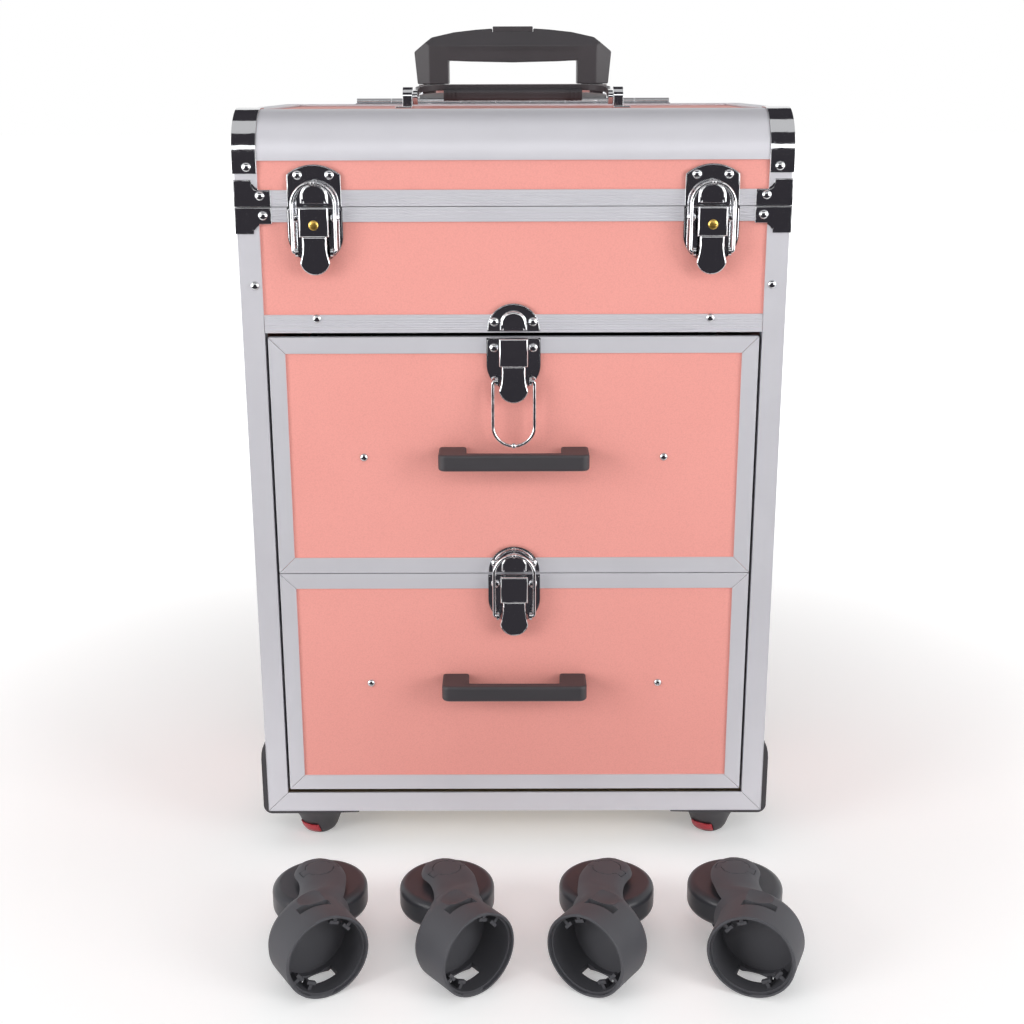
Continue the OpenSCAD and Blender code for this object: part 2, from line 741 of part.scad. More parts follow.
// Four mitred profiles, each with a front flange and an edge flange.
module drawer_frame(z) color("silver") in_case() {
    difference() {
        box(-front_half, front_half, 0, profile_t + board_t, z, z + drawer_h);
        box(-front_half + profile_t, front_half - profile_t, profile_t, big, z + profile_t, z + drawer_h - profile_t);
        box(-front_half + drawer_frame_w, front_half - drawer_frame_w, -1, big,
            z + drawer_frame_w, z + drawer_h - drawer_frame_w);
        for (x = [-front_half, front_half]) for (top = [0, 1])
            translate([x, 3, z + top * drawer_h]) rotate([0, (x > 0 ? -1 : 1) * (top > 0 ? -1 : 1) * 45, 0])
                cube([rail_joint_gap, 2 * drawer_frame_w, 3 * drawer_frame_w], center = true);
    }
}

module drawer_box(z) color("#2b2b2d") in_case() {
    y0 = profile_t + board_t;
    x1 = slide_in;
    h = drawer_h - box_drop;
    translate([0, 0, z + box_z]) difference() {
        box(-x1, x1, y0, y0 + box_d, 0, h);
        box(-x1 + box_wall, x1 - box_wall, y0 + box_wall, y0 + box_d - box_wall, box_wall, big);
    }
}

module drawer_pull(z) color("#262628") in_case() translate([0, 0, z + drawer_h / 2 + pull_z]) {
    bar_r = 4;
    box(-pull_l / 2 + bar_r, pull_l / 2 - bar_r, -pull_d, -pull_d + pull_bar_t, -pull_h / 2, pull_h / 2);
    box(-pull_l / 2, pull_l / 2, -pull_d + bar_r, -pull_d + pull_bar_t, -pull_h / 2, pull_h / 2);
    both_sides() {
        translate([pull_l / 2 - bar_r, -pull_d + bar_r, -pull_h / 2]) cylinder(h = pull_h, r = bar_r);
        box(pull_l / 2 - pull_foot_w, pull_l / 2, -pull_d + pull_bar_t - eps, profile_t, -pull_h / 2, pull_h / 2);
    }
}

// The drawer's own slide members.
module drawer_slides(z) color("gainsboro") in_case() both_sides() {
    zc = z + drawer_h / 2;
    rise = slide_h / 2 - profile_t - slide_fit;
    y1 = post_w + 1 + slide_l;
    box(slide_in, slide_in + profile_t, post_w + 1, y1, zc - rise, zc + rise);
    box(slide_in, slide_in + slide_t - 2, post_w + 1, y1, zc - rise, zc - rise + profile_t);
    box(slide_in, slide_in + slide_t - 2, post_w + 1, y1, zc + rise - profile_t, zc + rise);
}

// The fixed slide members on the battens.
module runner_channels() color("lightgray") in_case() both_sides() for (z = [z_drawer_1, z_drawer_2]) {
    zc = z + drawer_h / 2;
    x1 = post_in - drawer_side_gap / 2;
    x0 = slide_in + profile_t + 1.5;
    y0 = post_w + 1;
    box(x1 - profile_t, x1, y0, y0 + slide_l, zc - slide_h / 2, zc + slide_h / 2);
    box(x0, x1, y0, y0 + slide_l, zc - slide_h / 2, zc - slide_h / 2 + profile_t);
    box(x0, x1, y0, y0 + slide_l, zc + slide_h / 2 - profile_t, zc + slide_h / 2);
}

drawer_rivet_x = 105;

module drawer_latch_plates(z, keeper) color("gray") in_case() {
    translate([0, 0, drawer_latch_z(z)]) latch_base();
    if (keeper) translate([0, 0, z + keeper_lift]) half_disc_keeper();
    both_sides() rivet(drawer_rivet_x, z + drawer_h / 2, -profile_t);
}

// ---- hubs: x and y give the corner, -1 or 1 ----

module at_hub(x, y) {
    cy = y < 0 ? hub_y : case_d - hub_y;
    translate([x * hub_x, front_y + cy, 0]) rotate(release_turn) children();
}

hub_top = base_z - guard_t - 0.3;
release_z = 3;
release_out = hub_foot_r + 4.5;
release_in = release_out - 7;

module hub(x, y) color("#333335") at_hub(x, y) difference() {
    union() {
        cylinder(h = 10, r1 = hub_foot_r, r2 = hub_foot_r + 4);
        translate([0, 0, 10]) cylinder(h = hub_top - 13, r1 = hub_foot_r + 4, r2 = hub_r);
        translate([0, 0, hub_top - 3]) cylinder(h = 3, r = hub_r);
    }
    translate([0, 0, 5]) cylinder(h = base_z, r = hub_post_r + pin_fit);
    translate([release_in - 3.5, -release_w / 2 - 0.3, release_z - 0.3]) cube([30, release_w + 0.6, release_h + 0.6]);
}

module release(x, y) color("firebrick") at_hub(x, y)
    translate([release_in, -release_w / 2, release_z]) cube([release_out - release_in, release_w, release_h]);

// ---- casters lying on their sides: the wheel's centre is at the origin ----

module at_caster(i) {
    translate([caster_x[i], front_y - caster_front, cup_r]) rotate(caster_turn[i] - 90)
        mirror([0, caster_hand[i] > 0 ? 0 : 1, 0]) children();
}

module fork() {
    back = cup_reach - cup_l;
    chord = sqrt(cup_r * cup_r - arm_half * arm_half) - 0.6;
    for (side = [-1, 1]) translate([0, 0, side > 0 ? arm_half - arm_t : -arm_half]) linear_extrude(arm_t) {
        circle(arm_r);
        polygon([[0, -arm_r], [back + 4, -trail - chord], [back + 4, -trail + chord], [0, arm_r]]);
    }
    difference() {
        translate([back, -trail, 0]) rotate([0, 90, 0]) cylinder(h = cup_l, r = cup_r);
        translate([back + 4, -trail, 0]) rotate([0, 90, 0]) cylinder(h = cup_l, r = cup_r - cup_wall);
        translate([back + 13, -trail, 0]) cube([6, 22, 3 * cup_r], center = true);
    }
}

module caster_forks() color("#3c3c3e") for (i = [0 : 3]) at_caster(i) difference() {
    fork();
    cylinder(h = 3 * cup_r, r = axle_r + pin_fit, center = true);
}

module caster_wheel(i) color("#1f1f21") at_caster(i) {
    cylinder(h = wheel_w - 6, r = wheel_r, center = true);
    for (side = [0, 1]) mirror([0, 0, side]) translate([0, 0, wheel_w / 2 - 3 - eps]) cylinder(h = 3, r1 = wheel_r, r2 = wheel_r - 3);
    cylinder(h = 2 * arm_half - 2, r = axle_r, center = true);
}

// ---- trolley handle ----

module tube(w, d, z0, z1) {
    both_sides() difference() {
        box(tube_x - w / 2, tube_x + w / 2, tube_y - d / 2, tube_y + d / 2, z0, z1);
        box(tube_x - w / 2 + tube_wall, tube_x + w / 2 - tube_wall,
            tube_y - d / 2 + tube_wall, tube_y + d / 2 - tube_wall, z0 - 1, z1 + 1);
    }
}

tube_foot = 24;
tube_step = 30;
grip_socket = 12;

module trolley_outer_tubes() color("silver") in_case() tube(tube_w, tube_d, tube_foot, tube_top);
module trolley_middle_tubes() color("gainsboro") in_case() tube(mid_w, mid_d, tube_foot + tube_step, tube_top - 1);
module trolley_inner_tubes() color("silver") in_case()
    tube(inner_w, inner_d, tube_foot + 2 * tube_step, tube_top + grip_socket);

// Plastic brackets that clasp the outer tubes: a foot, a middle and an upper one.
module trolley_brackets() color("#262628") in_case() {
    wall = 3;
    for (z = [tube_foot - 6, case_h * 0.55, case_h - 34]) difference() {
        box(-tube_x - tube_w / 2 - 8, tube_x + tube_w / 2 + 8, case_d, tube_y + tube_d / 2 + wall, z, z + 28);
        both_sides() box(tube_x - tube_w / 2, tube_x + tube_w / 2, tube_y - tube_d / 2, tube_y + tube_d / 2,
            z < tube_foot ? tube_foot : z - 1, z + 30);
        box(-tube_x + tube_w / 2 + 5, tube_x - tube_w / 2 - 5, case_d + wall, big, z - 1, z + 30);
    }
}

grip_leg_out = tube_x + tube_w / 2 + 1;
grip_leg_in = tube_x - tube_w / 2 - 0.5;
grip_low = tube_top + 0.4;
button_travel = 4;
button_stand = 1.1;

module trolley_grip() color("#333335") in_case() difference() {
    top = grip_low + grip_h;
    along_y(tube_y - grip_d / 2, grip_d) polygon([
        [grip_leg_in, grip_low], [grip_leg_out, grip_low], [grip_leg_out + 2.5, top - 18.6],
        [grip_leg_out - 12, top - 7.4], [30, top - 1.5], [0, top],
        [-30, top - 1.5], [-grip_leg_out + 12, top - 7.4], [-grip_leg_out - 2.5, top - 18.6],
        [-grip_leg_out, grip_low], [-grip_leg_in, grip_low], [-grip_leg_in, top - 24.8],
        [-20, top - 26.6], [20, top - 26.6], [grip_leg_in, top - 24.8]
    ]);
    tube_socket();
    box(-grip_button_l / 2 - 0.3, grip_button_l / 2 + 0.3, tube_y - 6.3, tube_y + 6.3, top - 9, top + 1);
}

module along_y(y0, depth) {
    translate([0, y0 + depth, 0]) rotate([90, 0, 0]) linear_extrude(depth) children();
}

module tube_socket() {
    both_sides() box(tube_x - inner_w / 2, tube_x + inner_w / 2, tube_y - inner_d / 2, tube_y + inner_d / 2,
        0, tube_top + grip_socket);
}

module trolley_button() color("#262628") in_case()
    box(-grip_button_l / 2, grip_button_l / 2, tube_y - 6, tube_y + 6,
        grip_low + grip_h - 9 + button_travel + 0.3, grip_low + grip_h + button_stand);

case_frame();
body_panels();
floor_boards();
base_corner_plates();
corner_guards();
lid_latch_plates();
drawer_1_keeper();
case_rivets();
runner_channels();
case_hinge_leaf();
trolley_outer_tubes();
trolley_brackets();
caster_forks();
lid_panels();
lid_frame();
lid_corner_caps();
lid_keepers();
lid_rivets();
carry_brackets();
lid_hinge_leaf();
carry_strap();
carry_grip();
lid_lever(-1);  // lid_lever_left
lid_lever(1);  // lid_lever_right
drawer_lever(z_drawer_1);  // drawer_1_lever
drawer_lever(z_drawer_2);  // drawer_2_lever
lid_bail(-1);  // lid_bail_left
lid_bail(1);  // lid_bail_right
drawer_1_bail();
drawer_2_bail();
key(-1);  // key_cylinder_left
key(1);  // key_cylinder_right
drawer_panel(z_drawer_1);  // drawer_1_panel
drawer_frame(z_drawer_1);  // drawer_1_frame
drawer_box(z_drawer_1);  // drawer_1_box
drawer_pull(z_drawer_1);  // drawer_1_pull
drawer_slides(z_drawer_1);  // drawer_1_slides
drawer_latch_plates(z_drawer_1, true);  // drawer_1_latch_plates
drawer_panel(z_drawer_2);  // drawer_2_panel
drawer_frame(z_drawer_2);  // drawer_2_frame
drawer_box(z_drawer_2);  // drawer_2_box
drawer_pull(z_drawer_2);  // drawer_2_pull
drawer_slides(z_drawer_2);  // drawer_2_slides
drawer_latch_plates(z_drawer_2, false);  // drawer_2_latch_plates
hub(-1, -1);  // hub_front_left
hub(1, -1);  // hub_front_right
hub(-1, 1);  // hub_rear_left
hub(1, 1);  // hub_rear_right
release(-1, -1);  // release_front_left
release(1, -1);  // release_front_right
release(-1, 1);  // release_rear_left
release(1, 1);  // release_rear_right
caster_wheel(0);  // caster_wheel_1
caster_wheel(1);  // caster_wheel_2
caster_wheel(2);  // caster_wheel_3
caster_wheel(3);  // caster_wheel_4
trolley_middle_tubes();
trolley_inner_tubes();
trolley_grip();
trolley_button();
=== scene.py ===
import math

import bpy
from mathutils import Matrix, Vector


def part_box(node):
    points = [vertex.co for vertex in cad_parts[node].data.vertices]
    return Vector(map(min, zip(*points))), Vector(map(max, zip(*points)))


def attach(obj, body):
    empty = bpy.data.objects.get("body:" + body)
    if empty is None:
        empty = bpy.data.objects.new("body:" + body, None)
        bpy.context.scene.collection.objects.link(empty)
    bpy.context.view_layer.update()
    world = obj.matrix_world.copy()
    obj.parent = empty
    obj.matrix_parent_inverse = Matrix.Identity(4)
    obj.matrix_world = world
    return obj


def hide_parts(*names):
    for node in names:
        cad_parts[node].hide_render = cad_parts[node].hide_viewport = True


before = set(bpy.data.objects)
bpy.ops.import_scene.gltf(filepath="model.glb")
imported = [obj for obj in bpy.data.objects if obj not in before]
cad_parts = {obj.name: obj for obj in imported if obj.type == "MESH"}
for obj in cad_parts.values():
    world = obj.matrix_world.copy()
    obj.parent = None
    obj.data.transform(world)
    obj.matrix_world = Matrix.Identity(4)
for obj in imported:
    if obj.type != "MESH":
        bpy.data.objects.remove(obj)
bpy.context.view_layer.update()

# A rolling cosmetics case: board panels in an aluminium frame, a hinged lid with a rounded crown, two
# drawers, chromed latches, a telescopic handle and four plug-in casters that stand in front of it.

bpy.ops.object.select_all(action="DESELECT")
scene = bpy.context.scene
scene.view_settings.view_transform = "Standard"


# ---- Camera: about a metre in front of the case, at lid height, looking a little down ----
# A slight turn and roll follow the photographer's hand.

camera_place = Vector((0, -1.0332, 0.558))
camera_down, camera_aside, camera_roll = 16.39, 0.08, -0.17  # degrees
bpy.ops.object.camera_add(location=camera_place)
camera = bpy.context.object
camera.data.lens = 51.6
camera.matrix_world = (
    Matrix.Translation(camera_place)
    @ Matrix.Rotation(math.radians(camera_aside), 4, "Z")
    @ Matrix.Rotation(math.radians(90 - camera_down), 4, "X")
    @ Matrix.Rotation(math.radians(camera_roll), 4, "Z")
)
scene.camera = camera


# ---- Studio: a seamless pale floor, a white surround, three soft boxes and a strip light ----
# Black flags lie in front of the case, stand behind the camera and hang overhead, as photographers
# place them, so that polished metal shows dark flats with bright edges. Only reflections show them.

def linear(colour):
    """Turns an sRGB hex colour into the linear colour that a shader takes."""
    parts = [int(colour[i:i + 2], 16) / 255 for i in (0, 2, 4)]
    return tuple(p / 12.92 if p <= 0.04045 else ((p + 0.055) / 1.055) ** 2.4 for p in parts) + (1.0,)


def add_node(tree, kind, sockets=(), **settings):
    """Adds a shader node with its settings, and sets or links its sockets."""
    made = tree.nodes.new("ShaderNode" + kind)
    for key, value in settings.items():
        setattr(made, key, value)
    for key, value in dict(sockets).items():
        if isinstance(value, bpy.types.NodeSocket):
            tree.links.new(value, made.inputs[key])
        else:
            made.inputs[key].default_value = value
    return made


def new_material(name):
    """Starts a node material and returns it with its tree and its shader."""
    made = bpy.data.materials.new(name)
    made.use_nodes = True
    return made, made.node_tree, made.node_tree.nodes["Principled BSDF"]


def seen_directly(tree):
    """1 for camera, mirror and glass rays, and 0 for the light that falls on things."""
    path = add_node(tree, "LightPath")
    both = add_node(tree, "Math", {0: path.outputs["Is Camera Ray"], 1: path.outputs["Is Glossy Ray"]},
                    operation="ADD", use_clamp=True)
    return add_node(tree, "Math", {0: both.outputs[0], 1: path.outputs["Is Transmission Ray"]},
                    operation="ADD", use_clamp=True).outputs[0]


world = bpy.data.worlds.new("studio")
scene.world = world
world.use_nodes = True
tree = world.node_tree
surround = tree.nodes["Background"]
light_of_surround, white_of_surround = 0.42, 1.0
surround_level = add_node(tree, "MapRange", {"Value": seen_directly(tree), "To Min": light_of_surround,
                                             "To Max": white_of_surround})
tree.links.new(surround_level.outputs[0], surround.inputs["Strength"])
surround.inputs["Color"].default_value = (1, 1, 1, 1)


def surface(tree):
    """The place on a piece, in metres, that every pattern is drawn on."""
    return add_node(tree, "TexCoord").outputs["Object"]


def noise(tree, millimetres, detail=2.0):
    """A cloudy pattern from 0 to 1 whose patches are about so many millimetres across."""
    scale = 1000 / millimetres
    return add_node(tree, "TexNoise", {"Vector": surface(tree), "Scale": scale, "Detail": detail}).outputs[0]


def mixed(tree, pattern, first, second, socket):
    """Mixes two sRGB colours by a pattern into a socket of the shader."""
    tone = add_node(tree, "MixRGB", {"Fac": pattern, "Color1": linear(first), "Color2": linear(second)})
    tree.links.new(tone.outputs[0], socket)


def ranged(tree, pattern, low, high, socket):
    """Turns a pattern into values from low to high for a socket of the shader."""
    values = add_node(tree, "MapRange", {"Value": pattern, "To Min": low, "To Max": high})
    tree.links.new(values.outputs[0], socket)


# Matte paper, as a seamless background is: almost white, with no gloss. It whitens away from the case
# to the eye alone, so that the floor still shows the case's shadow.
paper, tree, shader = new_material("seamless_paper")
mixed(tree, noise(tree, 1000 / 3), "EDEDED", "F1F1F1", shader.inputs["Base Color"])
whiten_from, white_at = 0.25, 1.3  # metres from the middle of the floor
reach = add_node(tree, "VectorMath", {0: surface(tree)}, operation="LENGTH")
rise = add_node(tree, "MapRange", {"Value": reach.outputs["Value"], "From Min": whiten_from,
                                   "From Max": white_at, "To Min": 0.25, "To Max": 1.0},
                interpolation_type="SMOOTHSTEP")
glow = add_node(tree, "Math", {0: rise.outputs[0], 1: seen_directly(tree)}, operation="MULTIPLY")
tree.links.new(glow.outputs[0], shader.inputs["Emission Strength"])
shader.inputs["Emission Color"].default_value = (1, 1, 1, 1)
shader.inputs["Roughness"].default_value = 0.9
shader.inputs["Specular IOR Level"].default_value = 0.0
bpy.ops.mesh.primitive_plane_add(size=30, location=(0, 0, -0.0002))
floor = bpy.context.object
floor.name = "studio_floor"
floor.data.materials.append(paper)

# Black flag cloth is dull. Its glow is the little studio light that it returns, which no lamp makes.
flag_cloth, tree, shader = new_material("black_flag_cloth")
mixed(tree, noise(tree, 250), "343238", "423F44", shader.inputs["Emission Color"])
shader.inputs["Emission Strength"].default_value = 1.0
shader.inputs["Base Color"].default_value = (0, 0, 0, 1)
shader.inputs["Roughness"].default_value = 1.0
shader.inputs["Specular IOR Level"].default_value = 0.0
for name, place, size, lean in (
    ("flag_on_floor", (0, -1.92, 0.001), (3.0, 3.26), 0),
    ("flag_behind_camera", (0, -3.4, 1.5), (3.4, 3.2), 90),
    ("flag_overhead", (0, 0.1, 3.1), (3.4, 7.8), 0),
):
    bpy.ops.mesh.primitive_plane_add(size=1, location=place, rotation=(math.radians(lean), 0, 0))
    flag = bpy.context.object
    flag.name = name
    flag.scale = (*size, 1)
    flag.data.materials.append(flag_cloth)
    flag.visible_camera = False
    flag.visible_diffuse = False
    flag.visible_shadow = False
    flag.visible_transmission = False

middle_of_case = Vector((0, -0.05, 0.3))
for name, place, size, watts in (
    ("soft_box_left", (-2.0, -1.5, 0.8), (1.2, 1.5), 30),
    ("soft_box_right", (2.0, -1.5, 0.8), (1.2, 1.5), 30),
    ("soft_box_top", (0, -0.4, 2.3), (2.0, 1.2), 5),
    ("strip_box_front", (0, -2.0, 1.5), (2.2, 0.35), 6),
):
    bpy.ops.object.light_add(type="AREA", location=place)
    lamp = bpy.context.object
    lamp.name = name
    lamp.data.shape = "RECTANGLE"
    lamp.data.size, lamp.data.size_y = size
    lamp.data.energy = watts
    lamp.rotation_euler = (middle_of_case - Vector(place)).to_track_quat("-Z", "Y").to_euler()


# ---- Panels: thin board faced with pink plastic film, slid into the grooves of the frame ----
# The film has a fine pebble grain that scatters the light, so the panels look silky and not glossy.

def bump(tree, shader, height, millimetres):
    """Raises the surface by height, from 0 to 1, times a depth in millimetres."""
    raised = add_node(tree, "Bump", {"Height": height, "Distance": millimetres / 1000, "Strength": 1.0})
    tree.links.new(raised.outputs[0], shader.inputs["Normal"])


pink_film, tree, shader = new_material("pink_film_on_board")
pebble = 0.9  # mm
grain = add_node(tree, "TexVoronoi", {"Vector": surface(tree), "Scale": 1000 / pebble, "Randomness": 1.0},
                 feature="SMOOTH_F1")
speck = add_node(tree, "MapRange", {"Value": grain.outputs["Distance"], "From Max": 0.9, "To Min": 1.05,
                                    "To Max": 0.93})
grained = add_node(tree, "MixRGB", {"Fac": 1.0, "Color2": speck.outputs[0]}, blend_type="MULTIPLY")
mixed(tree, noise(tree, 70, 3.0), "E2968D", "E79C93", grained.inputs["Color1"])
tree.links.new(grained.outputs[0], shader.inputs["Base Color"])
bump(tree, shader, grain.outputs["Distance"], 0.06)
shader.inputs["Roughness"].default_value = 0.52
shader.inputs["Specular IOR Level"].default_value = 0.4


def select(piece):
    """Leaves one piece selected and active, as the operators need it."""
    bpy.ops.object.select_all(action="DESELECT")
    piece.select_set(True)
    bpy.context.view_layer.objects.active = piece


def own_copy(node, name):
    """A merged copy of a CAD node's mesh, to be shaped. The node itself isn't touched."""
    made = bpy.data.objects.new(name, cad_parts[node].data.copy())
    scene.collection.objects.link(made)
    made.data.materials.clear()
    select(made)
    bpy.ops.object.mode_set(mode="EDIT")
    bpy.ops.mesh.select_all(action="SELECT")
    bpy.ops.mesh.remove_doubles(threshold=0.000005)
    bpy.ops.mesh.dissolve_limited(angle_limit=math.radians(0.5))
    bpy.ops.object.mode_set(mode="OBJECT")
    return made


def finish(piece, material, body, slot, *nodes):
    """Gives a piece its material and the body that it moves with, and hides the CAD nodes that it stands for.
    """
    piece.data.materials.clear()
    piece.data.materials.append(material)
    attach(piece, body)
    if nodes:
        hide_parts(*nodes)


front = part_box("case_frame")[0][1]  # the plane of the case's front face
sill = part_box("case_frame")[0][2]  # the height of the case's bottom edge
front_mm, sill_mm = front * 1000, sill * 1000


def begin(name, points, faces, origin=(0, front, sill)):
    """A new piece from points in mm: across, back from the front plane, up from the case's bottom edge."""
    mesh = bpy.data.meshes.new(name)
    mesh.from_pydata([[o + m / 1000 for o, m in zip(origin, point)] for point in points], [], faces)
    made = bpy.data.objects.new(name, mesh)
    scene.collection.objects.link(made)
    select(made)
    return made


def even(made, angle=40):
    """Smooths the shading below an angle and keeps flat faces flat beside rounded edges."""
    bpy.ops.object.shade_smooth_by_angle(angle=math.radians(angle))
    weighted = made.modifiers.new("flat_faces_stay_flat", "WEIGHTED_NORMAL")
    weighted.keep_sharp = True
    bpy.ops.object.modifier_apply(modifier=weighted.name)


def tidy(made, angle=40):
    """Merges what coincides and turns the faces outwards."""
    if bpy.context.object.mode != "EDIT":
        bpy.ops.object.mode_set(mode="EDIT")
    bpy.ops.mesh.select_all(action="SELECT")
    bpy.ops.mesh.remove_doubles(threshold=0.000002)
    bpy.ops.mesh.normals_make_consistent(inside=False)
    bpy.ops.object.mode_set(mode="OBJECT")
    even(made, angle)
    return made


def drawn_out(name, outline, axis, low, high, roll=0.0, angle=40):
    """An outline in mm, drawn out along an axis from low to high. A roll rounds its high face's rim."""
    place = {"x": lambda u, v: (low, u, v), "y": lambda u, v: (u, low, v), "z": lambda u, v: (u, v, low)}
    made = begin(name, [place[axis](u, v) for u, v in outline], [range(len(outline))])
    reach = [(high - low) / 1000 if axis == letter else 0 for letter in "xyz"]
    bpy.ops.object.mode_set(mode="EDIT")
    bpy.ops.mesh.select_all(action="SELECT")
    bpy.ops.mesh.extrude_region_move(TRANSFORM_OT_translate={"value": reach})
    if roll:
        bpy.ops.mesh.bevel(offset=roll / 1000, segments=4, affect="EDGES")
    return tidy(made, angle)


def arc(u, v, radius, first, last, count=16):
    """Points along a circle from one angle to another, in degrees."""
    turns = [math.radians(first + (last - first) * i / count) for i in range(count + 1)]
    return [(u + radius * math.cos(t), v + radius * math.sin(t)) for t in turns]


def joined(name, parts):
    """Several pieces as one."""
    bpy.ops.object.select_all(action="DESELECT")
    for part in parts:
        part.select_set(True)
    bpy.context.view_layer.objects.active = parts[0]
    bpy.ops.object.join()
    parts[0].name = name
    return parts[0]


def copied(piece, name, across=0.0, back=0.0, up=0.0, turn=None):
    """A copy with its own mesh, moved by mm after an optional turn about the origin."""
    made = piece.copy()
    made.data = piece.data.copy()
    made.name = name
    scene.collection.objects.link(made)
    made.data.transform(Matrix.Translation((across / 1000, back / 1000, up / 1000)) @ (turn or Matrix()))
    return made


def soften(node, name, material, body, slot, millimetres=0.3, segments=2):
    """A copy of a CAD node with its sharp edges broken, as real edges are."""
    made = own_copy(node, name)
    broken = made.modifiers.new("broken_edges", "BEVEL")
    broken.width = millimetres / 1000
    broken.segments = segments
    broken.limit_method = "ANGLE"
    broken.angle_limit = math.radians(35)
    broken.use_clamp_overlap = True
    bpy.ops.object.modifier_apply(modifier=broken.name)
    even(made)
    finish(made, material, body, slot, node)
    return made


soften("body_panels", "panels_of_case", pink_film, "case", "pink_board", 0.2, 1)
soften("lid_panels", "panels_of_lid", pink_film, "lid", "pink_board", 0.2, 1)
for n in (1, 2):
    soften(f"drawer_{n}_panel", f"panel_of_drawer_{n}", pink_film, f"drawer_{n}", "pink_board", 0.2, 1)


# ---- Frame: extruded aluminium, bead blasted and anodised, mitred and riveted at the corners ----
# Anodising over a blasted surface gives a pale satin metal without mirror reflections.

satin_aluminium, tree, shader = new_material("anodised_aluminium")
blast = noise(tree, 0.5)
mixed(tree, noise(tree, 40), "D2D1D7", "DBDAE0", shader.inputs["Base Color"])
ranged(tree, blast, 0.38, 0.5, shader.inputs["Roughness"])
bump(tree, shader, blast, 0.02)
shader.inputs["Metallic"].default_value = 0.4

soften("case_frame", "frame_of_case", satin_aluminium, "case", "aluminium", 0.3, 2)
soften("lid_frame", "frame_of_lid", satin_aluminium, "lid", "aluminium", 0.3, 2)
for n in (1, 2):
    soften(f"drawer_{n}_frame", f"frame_of_drawer_{n}", satin_aluminium, f"drawer_{n}", "aluminium", 0.25, 2)

# The cross rail and the two rims are drawn with fine flutes, which show as lines along them.
flute_end, flute_width, edge_width = 169.6, 1.7, 1
raised, sunk, buried = -0.35, -0.08, 0.2
for name, body, low, high in (
    ("flutes_of_cross_rail", "case", 361.9, 374.0),
    ("flutes_of_case_rim", "case", 436.5, 446.1),
    ("flutes_of_lid_rim", "lid", 446.7, 457.3),
):
    fluted = high - low - 2 * edge_width
    ridges = round(fluted / flute_width)
    pitch = fluted / ridges
    profile = [(buried, low), (raised, low), (raised, low + edge_width)]
    for i in range(ridges):
        groove = low + edge_width + i * pitch
        profile += [(sunk, groove + 0.3), (sunk, groove + 0.55)]
        profile += [(raised, groove + 0.85), (raised, groove + pitch)]
    profile += [(raised, high), (buried, high)]
    rail = drawn_out(name, profile, "x", -flute_end, flute_end, angle=20)
    finish(rail, satin_aluminium, body, "aluminium")


# ---- Corner plates, caps, latches, rivets and brackets: pressed steel, chromed and riveted on ----
# Chrome is a mirror. Slight waves of the pressed sheet bend what it reflects.

chrome, tree, shader = new_material("chromed_pressed_steel")
haze = add_node(tree, "MapRange", {"Value": noise(tree, 3, 3.0), "From Min": 0.4, "From Max": 0.8,
                                   "To Min": 0.06, "To Max": 0.14})
tree.links.new(haze.outputs[0], shader.inputs["Roughness"])
bump(tree, shader, noise(tree, 9, 1.0), 0.12)
shader.inputs["Base Color"].default_value = linear("D9DADC")
shader.inputs["Metallic"].default_value = 1.0

for node, body in (
    ("base_corner_plates", "case"), ("lid_corner_caps", "lid"), ("lid_latch_plates", "case"),
    ("drawer_1_keeper", "case"), ("lid_keepers", "lid"),
    ("carry_brackets", "lid"), ("lid_hinge_leaf", "lid"), ("case_hinge_leaf", "case"),
    ("drawer_1_latch_plates", "drawer_1"), ("drawer_2_latch_plates", "drawer_2"),
    ("lid_bail_left", "lid_bail_left"), ("lid_bail_right", "lid_bail_right"),
    ("drawer_1_bail", "drawer_1_bail"), ("drawer_2_bail", "drawer_2_bail"),
):
    soften(node, node + "_chromed", chrome, body, "bright_steel", 0.25, 2)

# The case and the lid meet at a seam: their rims' edges, in mm above the case's bottom edge.
case_rim, lid_rim = 446.2, 446.6
sheet_out, sheet_roll = -1.08, 0.9  # how far a thin sheet stands out, and the roll of its rim


def corner_plate(name, body, side, foot, up):
    """An L-shaped plate at the seam, whose outer corners are round and whose inner one is hollow."""
    outer, long, high, radius = 186, 24.6, 11, 2.4
    shape = [(0, 0), (long, 0)] + arc(long - radius, high - radius, radius, 0, 90, 8)
    shape += arc(16.5, 15, 4, 270, 180, 8) + [(12.5, 17.6), (0, 17.6)]
    shape = [(side * (outer - u), foot + up * v) for u, v in shape]
    finish(drawn_out(name, shape, "y", 0, sheet_out, sheet_roll), chrome, body, "bright_steel")


def latch_sheet(name, body, across, foot, shape, back, out, roll):
    """A pressed sheet of a latch that stands at a place on the front."""
    sheet = drawn_out(name, [(across + u, foot + v) for u, v in shape], "y", back, out, roll)
    if body:
        finish(sheet, chrome, body, "bright_steel")
    return sheet


# Shapes of the latch's sheets, each in mm from the middle of the seam that the latch closes.
base_shape = arc(-16, -2.5, 2.5, 180, 90, 6) + arc(16, -2.5, 2.5, 90, 0, 6) + arc(0, -18.5, 18.5, 0, -180, 40)
lever_shape = [(-9.9, 0.5), (9.9, 0.5), (9.9, -19), (-9.9, -19)]
flare = [(8.2, -18.5), (8.2, -24), (8.4, -27), (8.8, -30), (9.5, -33), (10.1, -35)]
tongue_shape = flare + arc(0, -33.9, 10.5, -14, -166, 28) + [(-u, v) for u, v in reversed(flare)]
half_disc = [(-18, 0), (18, 0)] + arc(0, 1, 18, 0, 180, 40)
arch = [(-18, 0), (18, 0)] + arc(0, -0.4, 27.8, 49.65, 130.35, 24)
boss = [(-9.3, 0), (9.3, 0)] + arc(0, 4.2, 9.3, 0, 180, 32)
latch_across, pin_drop = 132.4, 2.6
quarter = math.radians(90)
